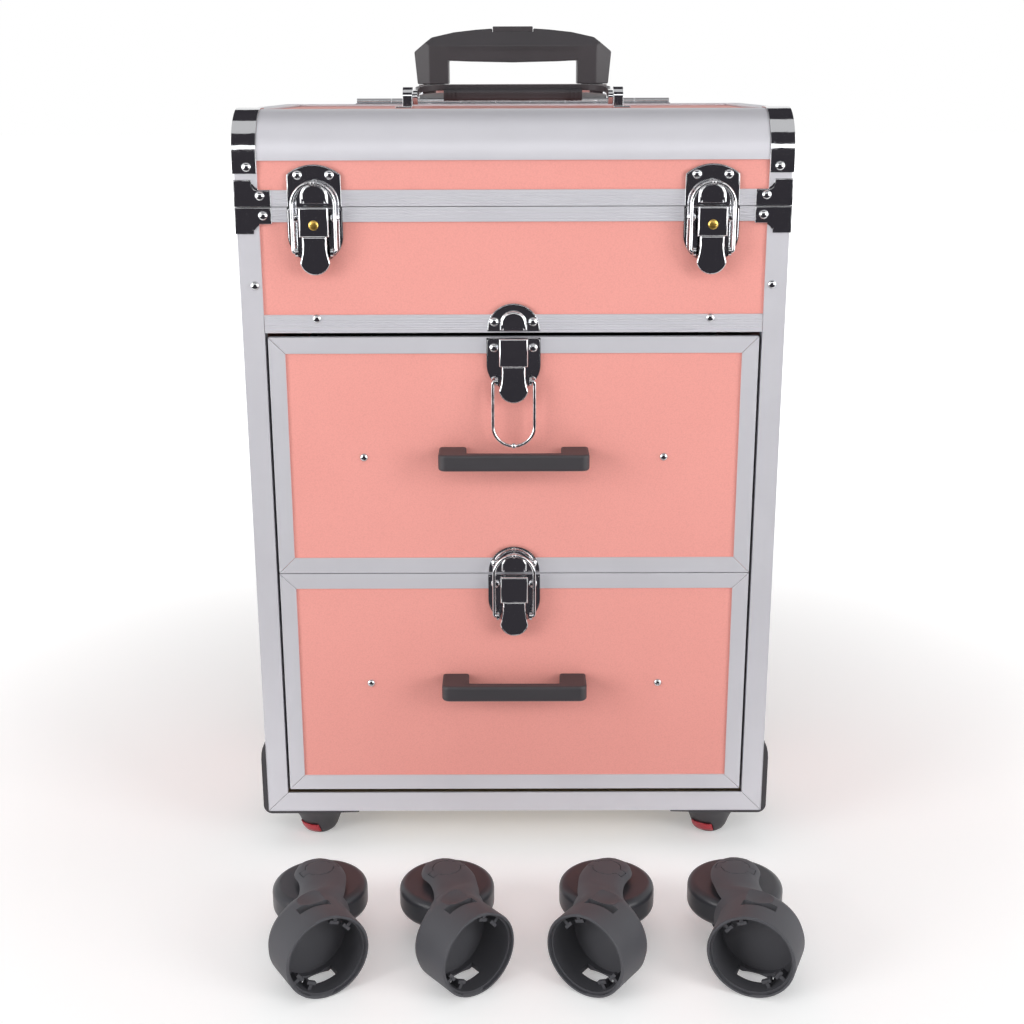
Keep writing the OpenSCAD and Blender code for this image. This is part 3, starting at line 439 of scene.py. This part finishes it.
for label, across, top, body, lever in (
    ("lid_left", -latch_across, case_rim, "case", "lid_lever_left"),
    ("lid_right", latch_across, case_rim, "case", "lid_lever_right"),
    ("drawer_1", 0, 358.4, "drawer_1", "drawer_1_lever"),
    ("drawer_2", 0, 187.8, "drawer_2", "drawer_2_lever"),
):
    latch_sheet(f"latch_base_{label}", body, across, top, base_shape, 0, sheet_out, sheet_roll)
    plate = latch_sheet("plate", None, across, top, lever_shape, -6.2, -10, 1.6)
    tongue = latch_sheet("tongue", None, across, top, tongue_shape, -7.4, -9.1, 1.5)
    bpy.ops.mesh.primitive_cylinder_add(vertices=24, radius=0.001, depth=0.0184, rotation=(0, quarter, 0))
    pin = bpy.context.object
    bpy.ops.object.transform_apply(location=False, rotation=True, scale=False)
    pin.data.transform(Matrix.Translation((across / 1000, front - 0.006, sill + (top - pin_drop) / 1000)))
    finish(joined(f"latch_lever_{label}", [plate, tongue, pin]), chrome, lever, "bright_steel", lever)
for label, body, across, foot, shape, lift in (
    ("lid_left", "lid", -latch_across, lid_rim, arch, 2.1),
    ("lid_right", "lid", latch_across, lid_rim, arch, 2.1),
    ("drawer_1", "case", 0, 362.7, half_disc, 0.8),
    ("drawer_2", "drawer_1", 0, 189.6, half_disc, 0.8),
):
    latch_sheet(f"keeper_{label}", body, across, foot, shape, 0, sheet_out, sheet_roll)
    latch_sheet(f"boss_{label}", body, across, foot + lift, boss, -1, -3.85, 2.3)
for side in (-1, 1):
    corner_plate(f"corner_of_case_{side}", "case", side, case_rim, -1)
    corner_plate(f"corner_of_lid_{side}", "lid", side, lid_rim, 1)

# A bead closes the wire of the upper drawer's bail.
bpy.ops.mesh.primitive_uv_sphere_add(segments=32, ring_count=16, radius=0.0021)
bead = bpy.context.object
bead.name = "bead_of_drawer_1_bail"
bead.data.transform(Matrix.Translation((0, front - 0.0088, sill + 0.2844)))
bpy.ops.object.shade_smooth()
finish(bead, chrome, "drawer_1_bail", "bright_steel")

# Rivet heads are low polished domes: one of each pair's places in mm, as across, back and up.
head_radius, head_height = 2.6, 1.6
bpy.ops.mesh.primitive_uv_sphere_add(
    segments=24, ring_count=12, radius=head_radius / 1000, location=(0, 0, 0)
)
rivet = bpy.context.object
rivet.data.transform(Matrix.Diagonal((1, head_height / head_radius, 1, 1)))
bpy.ops.object.shade_smooth()
sideways = Matrix.Rotation(quarter, 4, "Z")
half_width, half_depth = 185, 125
for name, body, nodes, places, side_heights in (
    ("rivets_of_case", "case", ["case_rivets"], [
        (134, 0, 371.6), (175, 0, 394.1), (167, -1, 440.7),
        (119, -1, 439.2), (145.8, -1, 439.2), (13.2, -1, 369.2),
    ], (7.5, 441.3)),
    ("rivets_of_lid", "lid", ["lid_rivets"], [
        (176.5, -1, 472.3), (168.5, -1, 453.6), (121.8, -1, 467.1), (143, -1, 467.1),
    ], (452.0,)),
    ("rivets_of_drawer_1", "drawer_1", [], [(105, 1.5, 273.7), (13.4, -1, 351.4), (13.2, -1, 196.1)], ()),
    ("rivets_of_drawer_2", "drawer_2", [], [(105, 1.5, 103.1), (13.4, -1, 180.8)], ()),
):
    heads = []
    for x, y, z in places:
        size = Matrix.Scale(1.12 if y > 0 else 1.2, 4)
        heads += [copied(rivet, "rivet", side * x, front_mm + y, sill_mm + z, size) for side in (-1, 1)]
    for z in side_heights:
        heads += [
            copied(rivet, "rivet", side * half_width, front_mm + half_depth, sill_mm + z, sideways)
            for side in (-1, 1)
        ]
    finish(joined(name, heads), chrome, body, "bright_steel", *nodes)
bpy.data.objects.remove(rivet)


# ---- Black plastic: moulded pulls, grips, guards and hubs with a fine spark-eroded grain ----

black_abs, tree, shader = new_material("moulded_black_abs")
spark = noise(tree, 0.35, 3.0)
mixed(tree, noise(tree, 25), "353336", "3D3A3E", shader.inputs["Base Color"])
ranged(tree, spark, 0.4, 0.6, shader.inputs["Roughness"])
bump(tree, shader, spark, 0.03)


def turned(name, profile, across, back):
    """A solid turned about an upright axis, at a place in mm, from a profile of radius and height."""
    made = begin(name, [(r, 0, z) for r, z in profile], [], origin=(0, 0, 0))
    made.data.edges.add(len(profile) - 1)
    made.data.edges.foreach_set("vertices", [n for i in range(len(profile) - 1) for n in (i, i + 1)])
    bpy.ops.object.mode_set(mode="EDIT")
    bpy.ops.mesh.select_all(action="SELECT")
    bpy.ops.mesh.spin(steps=72, angle=math.tau, center=(0, 0, 0), axis=(0, 0, 1))
    tidy(made, 35)
    made.data.transform(Matrix.Translation((across / 1000, back / 1000, 0)))
    return made


def block(low, high):
    """A plain box in mm from its lowest to its highest corner, measured from the floor's middle."""
    bpy.ops.mesh.primitive_cube_add(size=1)
    made = bpy.context.object
    middle = [(a + b) / 2000 for a, b in zip(low, high)]
    size = [(b - a) / 1000 for a, b in zip(low, high)]
    made.data.transform(Matrix.Translation(middle) @ Matrix.Diagonal(size + [1]))
    return made


def rod(radius, low, high, axis="Z", across=0.0, back=0.0, sides=64):
    """A plain cylinder in mm along Z at a place, or along X at a place back from the middle."""
    bpy.ops.mesh.primitive_cylinder_add(vertices=sides, radius=radius / 1000, depth=(high - low) / 1000)
    made = bpy.context.object
    middle = (low + high) / 2000
    if axis == "X":
        made.data.transform(Matrix.Translation((middle, back / 1000, 0)) @ Matrix.Rotation(quarter, 4, "Y"))
    else:
        made.data.transform(Matrix.Translation((across / 1000, back / 1000, middle)))
    return made


def cut(piece, tool, how="DIFFERENCE"):
    """Takes a tool's shape out of a piece, or keeps only what lies inside it."""
    boolean = piece.modifiers.new("cut", "BOOLEAN")
    boolean.object = tool
    boolean.operation = how
    boolean.solver = "EXACT"
    select(piece)
    bpy.ops.object.modifier_apply(modifier=boolean.name)
    bpy.data.objects.remove(tool)


def rounded(piece, millimetres, segments=4, above=30):
    """Rounds the edges that turn by more than an angle."""
    select(piece)
    edges = piece.modifiers.new("rounded", "BEVEL")
    edges.width = millimetres / 1000
    edges.segments = segments
    edges.limit_method = "ANGLE"
    edges.angle_limit = math.radians(above)
    bpy.ops.object.modifier_apply(modifier=edges.name)
    even(piece, 35)


# Pulls: a bar on two feet, screwed on from inside the drawer.
pull_end, pull_root, pull_half_height = 52, 1.5, 5.75
for n, height in ((1, 275.7), (2, 105.1)):
    outline = [(-pull_end, pull_root)] + arc(-46.5, -19.5, 5.5, 180, 270, 8)
    outline += arc(46.5, -19.5, 5.5, 270, 360, 8) + [(pull_end, pull_root), (33, pull_root)]
    outline += arc(31, -15, 2, 0, -90, 4) + arc(-31, -15, 2, -90, -180, 4) + [(-33, pull_root)]
    pull = drawn_out(
        f"pull_of_drawer_{n}", outline, "z", height - pull_half_height, height + pull_half_height
    )
    rounded(pull, 1.7, 4, 40)
    finish(pull, black_abs, f"drawer_{n}", "black_plastic", f"drawer_{n}_pull")

# Corner guards wrap the lower corners: a wing up the side, a plate under the case, a collar over the
# hub and the post that it turns on.
hub_across, hub_backs = 150.8, {"front": 32, "rear": 218}
collar = [(0, 27.5), (24.6, 27.5), (26, 28.2), (28.5, 29.6), (0, 29.6)]
guards = []
for side in (-1, 1):
    outline = [(117, 0), (117, -0.7), (135, -1.3), (160, -1.6)] + arc(182, 4.8, 6.5, 270, 360, 8)
    outline += [(188.5, 43), (188.1, 48), (187.2, 52), (185.6, 55), (185, 55), (185, 0)]
    for low, high, end in ((-0.5, 61.5, "front"), (188.5, 250.5, "rear")):
        back = front_mm + hub_backs[end]
        guards.append(drawn_out("guard", [(side * x, z) for x, z in outline], "y", low, high))
        guards.append(rod(4, 6, 29, across=side * hub_across, back=back, sides=32))
        guards.append(turned("collar", collar, side * hub_across, back))
finish(joined("corner_guards_moulded", guards), black_abs, "case", "black_plastic", "corner_guards")

# Hubs: bowls that the caster cups slip over, each with a pocket for its release button and a socket
# for the post.
bowl = [
    (0, 0), (6, 0), (9, 0.8), (11.5, 2.8), (13.2, 5.5), (14.5, 9),
    (16, 13), (18, 17), (20.5, 21), (23, 24.5), (24.3, 27.2), (0, 27.2),
]
button_faces = Matrix.Rotation(math.radians(235), 4, "Z")
corners = [
    (f"{end}_{side}", across, front_mm + hub_backs[end])
    for end in ("front", "rear") for side, across in (("left", -hub_across), ("right", hub_across))
]
for corner, across, back in corners:
    hub = turned(f"hub_bowl_{corner}", bowl, across, back)
    pocket = block((5, -8.8, 2.7), (40, 8.8, 10.3))
    socket = rod(4.1, 5, 40, sides=32)
    for tool in (pocket, socket):
        tool.data.transform(Matrix.Translation((across / 1000, back / 1000, 0)) @ button_faces)
        cut(hub, tool)
    even(hub, 35)
    finish(hub, black_abs, f"hub_{corner}", "black_plastic", f"hub_{corner}")

# The trolley grip: two shells screwed together round the tubes, with sloping tops, faceted legs, a ribbed
# front edge and a well for its button. Heights are above the case's bottom edge, in mm.
top, foot, near, far = 568.0, 524.2, 253, 279
half = [
    (0, top - 26.9), (36, top - 26.1), (52.5, top - 25.4), (52.5, foot), (78, foot), (80.4, top - 18.6),
    (66, top - 7.4), (48, top - 3.4), (30, top - 1.4), (14, top - 0.3),
]
outline = half[3:] + [(-x, z) for x, z in half[:0:-1]] + half[:3]
grip = drawn_out("trolley_grip_moulded", outline, "y", near, far, angle=15)
for back, lean in ((near, 1), (far, -1)):
    slope = drawn_out("slope", [
        (back - lean, top - 15.4), (back + lean * 9, top + 1.5), (back + lean * 9, top + 9),
        (back - lean * 6, top + 9), (back - lean * 6, top - 15.4),
    ], "x", -100, 100)
    cut(grip, slope)
    for side in (-1, 1):
        facet = drawn_out("facet", [
            (side * 66, back - lean), (side * 84, back + lean * 7.5), (side * 90, back + lean * 7.5),
            (side * 90, back - lean * 6), (side * 66, back - lean * 6),
        ], "z", 500, top + 20)
        cut(grip, facet)
cut(grip, block((-16.7, front_mm + 259.5, sill_mm + 559), (16.7, front_mm + 272.5, sill_mm + 580)))
rounded(grip, 0.9, 3, 12)
rib_width, rib_pitch = 1.1, 2.4
ribs = []
for n in range(44):
    edge = -52 + n * rib_pitch
    lowest = (edge, front_mm + 252.7, sill_mm + top - 18.2)
    highest = (edge + rib_width, front_mm + 254.6, sill_mm + top - 14.6)
    ribs.append(block(lowest, highest))
grip = joined("trolley_grip_moulded", [grip] + ribs)
finish(grip, black_abs, "trolley_handle", "black_plastic", "trolley_grip")
soften("trolley_button", "trolley_button_moulded", black_abs, "trolley_button", "black_plastic", 0.6, 3)
soften("trolley_brackets", "trolley_brackets_moulded", black_abs, "case", "black_plastic", 0.6, 2)

# The carry handle pivots on two brackets and lies a little above the lid. Its strap is a flat chromed
# steel band bent to a loop; behind its two eyes only its upper half is left. Its grip is a soft sleeve
# pushed on, ribbed at its ends, with a moulding line along it. Places are in mm from the pivot's axis.
pivot_back, pivot_up, raised_by = 0.122, 0.5151, 6  # metres, metres and degrees
lie = (
    Matrix.Translation((0, front + pivot_back, sill + pivot_up))
    @ Matrix.Rotation(math.radians(raised_by), 4, "X")
)


def laid(name, outline, axis, low, high):
    """An outline drawn out beside the pivot's axis and laid down with the handle."""
    made = drawn_out(name, outline, axis, low, high)
    made.data.transform(Matrix.Translation((0, -front, -sill)))
    made.data.transform(lie)
    return made


def sleeve(low, high, grow):
    """A length of the sleeve, a rounded bar that lies along the strap's inner face."""
    inner, outer, under, over = 27.7 - grow, 36.7, -5.8, 2.0
    round_in, round_out = 2.2, 0.6
    shape = arc(inner + round_in, under + round_in, round_in, 180, 270, 6)
    shape += arc(outer - round_out, under + round_out, round_out, 270, 360, 3)
    shape += arc(outer - round_out, over - round_out, round_out, 0, 90, 3)
    shape += arc(inner + round_in, over - round_in, round_in, 90, 180, 6)
    return laid("sleeve", shape, "x", low, high)


strap = soften("carry_strap", "carry_strap_bent", chrome, "carry_handle", "bright_steel", 0.3, 2)
cut(strap, laid("waste", [(-90, 6.5), (90, 6.5), (90, 60), (-90, 60)], "z", -12, -0.8))
even(strap, 35)

lengths = [sleeve(-52, 52, 0.0)]
for side in (-1, 1):
    for n in range(4):
        ends = sorted((side * (51.8 - 3.2 * n), side * (50.2 - 3.2 * n)))
        lengths.append(sleeve(*ends, 0.8))
seam = block((-50, 27.3, -1.4), (50, 28.2, -0.9))
seam.data.transform(lie)
# A narrow black strip follows the upper half of the strap's inner face round both corners. It is painted
# shade and a painted dark reflection of that chrome face.
strap_inside, bend, bend_across, bend_back = 69.7, 17.7, 52, 19
outline = []
for thick, turn in ((0.0, 1), (0.35, -1)):
    edge = [(thick - strap_inside, 2)]
    edge += arc(-bend_across, bend_back, bend - thick, 180, 90, 12)
    edge += arc(bend_across, bend_back, bend - thick, 90, 0, 12)
    outline += (edge + [(strap_inside - thick, 2)])[::turn]
painted_shade_strip = laid("painted_shade_strip", outline, "z", 0.8, 5)
grip = joined("carry_grip_moulded", lengths + [seam, painted_shade_strip])
finish(grip, black_abs, "carry_handle", "black_plastic", "carry_grip")


# ---- Keys: turned brass plug cylinders, held in the two lid levers ----
# Each is a low dome with a slit across it. Handling has rubbed the brass uneven.

brass, tree, shader = new_material("turned_brass")
swirl = noise(tree, 0.4)
mixed(tree, swirl, "D9AC4A", "F0CF78", shader.inputs["Base Color"])
bump(tree, shader, swirl, 0.01)
shader.inputs["Metallic"].default_value = 1.0
shader.inputs["Roughness"].default_value = 0.32
key_up, slit_half_length, slit_half_height = 435.1, 2.4, 0.35
for side, across in (("left", -latch_across), ("right", latch_across)):
    bpy.ops.mesh.primitive_uv_sphere_add(segments=48, ring_count=24, radius=0.0033)
    key = bpy.context.object
    key.name = f"key_{side}"
    key.data.transform(
        Matrix.Translation((across / 1000, front - 0.0098, sill + key_up / 1000))
        @ Matrix.Diagonal((1, 0.36, 1, 1))
    )
    lowest = (across - slit_half_length, front_mm - 14, sill_mm + key_up - slit_half_height)
    highest = (across + slit_half_length, front_mm - 10.6, sill_mm + key_up + slit_half_height)
    cut(key, block(lowest, highest))
    even(key, 35)
    finish(key, brass, f"key_cylinder_{side}", "lock_brass", f"key_cylinder_{side}")


# ---- Release buttons: moulded red plastic, sprung in the pockets of the hubs ----
# Each button's face follows the bowl that it sits in and stands a little proud of it.

red_abs, tree, shader = new_material("moulded_red_abs")
spark = noise(tree, 0.35, 3.0)
mixed(tree, spark, "A8242F", "B8323D", shader.inputs["Base Color"])
bump(tree, shader, spark, 0.02)
shader.inputs["Roughness"].default_value = 0.35
stands_out = 0.9
proud_bowl = [(r + stands_out if r else 0, z) for r, z in bowl]
for corner, across, back in corners:
    node = f"release_{corner}"
    button = soften(node, f"release_button_{corner}", red_abs, node, "red_plastic", 0.6, 3)
    cut(button, turned("proud", proud_bowl, across, back), "INTERSECT")
    even(button, 35)


# ---- Caster forks: glass-filled nylon, moulded in one piece from the cup to the two arms ----
# The glass fibre leaves the charcoal plastic matte. Each fork is modelled lying on its side with the
# wheel's centre at the origin, the cup's axis along X and the wheel's axle along Z.

glass_nylon, tree, shader = new_material("glass_filled_nylon")
mixed(tree, noise(tree, 30), "48484C", "505055", shader.inputs["Base Color"])
bump(tree, shader, noise(tree, 0.5, 3.0), 0.03)
shader.inputs["Roughness"].default_value = 0.55
shader.inputs["Specular IOR Level"].default_value = 0.3

# Where each caster lies: across in mm, its turn in degrees, and its hand, as two are mirror images.
casters = ((-132, 32, 1), (-46, 39, 1), (62, -35, -1), (149, -22, -1))
caster_front, cup_out = 113, 28.5  # mm in front of the case, and the cup's radius that it rests on


def cast(piece, name, angle):
    """Four copies of a caster's piece, each laid in its caster's place, smoothed below an angle."""
    select(piece)
    even(piece, angle)
    made = []
    for n, (across, turn, hand) in enumerate(casters, start=1):
        place = (
            Matrix.Translation((across / 1000, front - caster_front / 1000, cup_out / 1000))
            @ Matrix.Rotation(math.radians(turn - 90), 4, "Z")
            @ Matrix.Diagonal((1, hand, 1, 1))
        )
        made.append(copied(piece, f"{name}_{n}", turn=place))
        select(made[-1])
        tidy(made[-1], angle)
    bpy.data.objects.remove(piece)
    return made


# The fork's skin is lofted through rings across its length, from the cup's mouth to the arms' end. Each
# has a place along X, its lowest and highest Y, half its height and the power of its superellipse.
sides = 72
rings = []
for x, low, high, half, power in (
    (72.0, -56.0, 0.0, 28.0, 2.0), (71.3, -56.5, 0.5, 28.5, 2.0), (44, -56.5, 0.5, 28.5, 2.0),
    (40, -55, 1.5, 28.0, 2.0), (36, -50, 4.2, 27.0, 2.05), (32, -44.5, 7.4, 25.3, 2.1),
    (28, -39, 10.3, 23.1, 2.2), (24, -34.5, 13, 21.2, 2.3), (20, -30.5, 15.2, 20.2, 2.45),
    (16, -27, 16.8, 20.0, 2.6), (12, -24, 17.8, 20.0, 2.8), (8, -21.5, 18.3, 20.0, 3.0),
    (4, -19.6, 18.5, 20.0, 3.3), (0, -18.5, 18.5, 20.0, 3.6), (-4, -18.1, 18.1, 19.9, 3.8),
    (-8, -16.7, 16.7, 19.7, 4), (-11, -14.9, 14.9, 19.3, 4), (-14, -12.1, 12.1, 18.7, 4),
    (-16.5, -8.4, 8.4, 17.7, 4), (-18.1, -3.8, 3.8, 16.2, 4),
):
    ring = []
    for i in range(sides):
        c, d = math.cos(math.tau * i / sides), math.sin(math.tau * i / sides)
        ring.append((
            x,
            (low + high) / 2 + (high - low) / 2 * math.copysign(abs(c) ** (2 / power), c),
            half * math.copysign(abs(d) ** (2 / power), d),
        ))
    rings.append(ring)
skin = [
    [sides * r + i, sides * r + (i + 1) % sides, sides * (r + 1) + (i + 1) % sides, sides * (r + 1) + i]
    for r in range(len(rings) - 1) for i in range(sides)
]
skin += [list(range(sides)), list(range(sides * (len(rings) - 1), sides * len(rings)))]
fork = begin("fork", [point for ring in rings for point in ring], skin, origin=(0, 0, 0))
tidy(fork)
whole = copied(fork, "whole")
trail = -28  # Y of the cup's axis, which the wheel trails behind
for tool in (
    rod(35, -14.9, 14.9, sides=96),  # room for the wheel
    rod(25.4, 44, 80, "X", back=trail),  # the cup's bore
    rod(26.8, 69.5, 80, "X", back=trail),  # the step at its mouth
    rod(3.06, -40, 40, sides=32),  # the axle's bore
    block((49.8, -39, 0), (56.2, -17, 40)),  # the windows for the hub's button
    block((48, -40, -40), (58.5, -16, 0)),
):
    cut(fork, tool)
# A hollow for the thumb beside each window.
for up in (-1, 1):
    bpy.ops.mesh.primitive_uv_sphere_add(segments=48, ring_count=24, radius=0.0115)
    thumb = bpy.context.object
    thumb.data.transform(
        Matrix.Translation((0.0425, -0.0245, up * 0.0308)) @ Matrix.Diagonal((1.15, 1.3, 0.45, 1))
    )
    cut(fork, thumb)
# A round cap with two ears closes each end of the axle, let into the arm with a fine gap round it.
cap_radius, ear_half, ear_end = 9.2, 2.8, 13
caps = []
for up in (-1, 1):
    for gap, low in ((0.45, 17), (0.0, 16)):
        outline = arc(0, 0, cap_radius + gap, -72, 72, 24)
        outline += [(ear_half + gap, ear_end + gap), (-ear_half - gap, ear_end + gap)]
        outline += arc(0, 0, cap_radius + gap, 108, 252, 24)
        outline += [(-ear_half - gap, -ear_end - gap), (ear_half + gap, -ear_end - gap)]
        tool = drawn_out("cap", outline, "z", *sorted((up * low, up * 30)))
        tool.data.transform(Matrix.Translation((0, -front, -sill)))
        if gap:
            cut(fork, tool)
        else:
            cut(tool, copied(whole, "skin"), "INTERSECT")
            caps.append(tool)
bpy.data.objects.remove(whole)
# Clips for the hub stand inside the cup, each a rib with a hook across its end.
clips = []
for turn in (40, 68, 215, 243):
    for part in (block((58, 21.5, -1.2), (66, 25.6, 1.2)), block((63.5, 19.8, -3.2), (66, 22, 3.2))):
        part.data.transform(
            Matrix.Translation((0, trail / 1000, 0)) @ Matrix.Rotation(math.radians(turn), 4, "X")
        )
        clips.append(part)
forks = cast(joined("fork", [fork] + caps + clips), "fork", 32)
finish(joined("caster_forks_moulded", forks), glass_nylon, "case", "black_plastic", "caster_forks")


# ---- Wheels: cast polyurethane, smooth and softly glossy, with round shoulders ----
# Each turns with its axle, whose ends run in the fork's arms.

tyre, tree, shader = new_material("cast_polyurethane")
scuff = noise(tree, 6, 4.0)
mixed(tree, scuff, "333338", "3B3B40", shader.inputs["Base Color"])
ranged(tree, scuff, 0.28, 0.36, shader.inputs["Roughness"])
shader.inputs["Specular IOR Level"].default_value = 0.35
wheel = rod(32, -10, 10, sides=128)
shoulders = wheel.modifiers.new("shoulders", "BEVEL")
shoulders.width = 0.0055
shoulders.segments = 8
shoulders.limit_method = "ANGLE"
bpy.ops.object.modifier_apply(modifier=shoulders.name)
axle = rod(3, -15.9, 15.9, sides=32)
for n, wheel in enumerate(cast(joined("wheel", [wheel, axle]), "wheel", 30), start=1):
    finish(wheel, tyre, f"caster_wheel_{n}", "wheel_rubber", f"caster_wheel_{n}")


# ---- Inside: board floors and battens, lined drawer boxes, zinc-plated runners and tubes ----
# The boards are glued and pinned, the boxes are lined with flock, and the runners and the handle's
# tubes are drawn steel, plated with zinc.

birch, tree, shader = new_material("birch_plywood")
fibre = add_node(tree, "Mapping", {"Vector": surface(tree), "Scale": (1000 / 60, 1000 / 3, 1000 / 3)})
veins = add_node(tree, "TexNoise", {"Vector": fibre.outputs[0], "Scale": 1.0, "Detail": 5.0})
mixed(tree, veins.outputs[0], "B99A6E", "D9BF95", shader.inputs["Base Color"])
bump(tree, shader, veins.outputs[0], 0.05)
shader.inputs["Roughness"].default_value = 0.65
soften("floor_boards", "floors_and_battens", birch, "case", "board", 0.3, 1)

felt, tree, shader = new_material("black_flocked_lining")
fuzz = noise(tree, 0.6, 4.0)
mixed(tree, fuzz, "1B1B1C", "2D2D2F", shader.inputs["Base Color"])
bump(tree, shader, fuzz, 0.2)
shader.inputs["Roughness"].default_value = 0.95
shader.inputs["Sheen Weight"].default_value = 0.3
for n in (1, 2):
    soften(f"drawer_{n}_box", f"lined_box_{n}", felt, f"drawer_{n}", "lining", 0.4, 1)

zinc, tree, shader = new_material("zinc_plated_steel")
spangle = noise(tree, 5, 3.0)
mixed(tree, spangle, "A9AAAB", "BFC0C0", shader.inputs["Base Color"])
bump(tree, shader, spangle, 0.02)
shader.inputs["Metallic"].default_value = 1.0
shader.inputs["Roughness"].default_value = 0.3
for node, body in (
    ("runner_channels", "case"), ("drawer_1_slides", "drawer_1"), ("drawer_2_slides", "drawer_2"),
    ("trolley_outer_tubes", "case"), ("trolley_middle_tubes", "trolley_middle"),
    ("trolley_inner_tubes", "trolley_handle"),
):
    soften(node, node + "_plated", zinc, body, "zinc_steel", 0.2, 1)
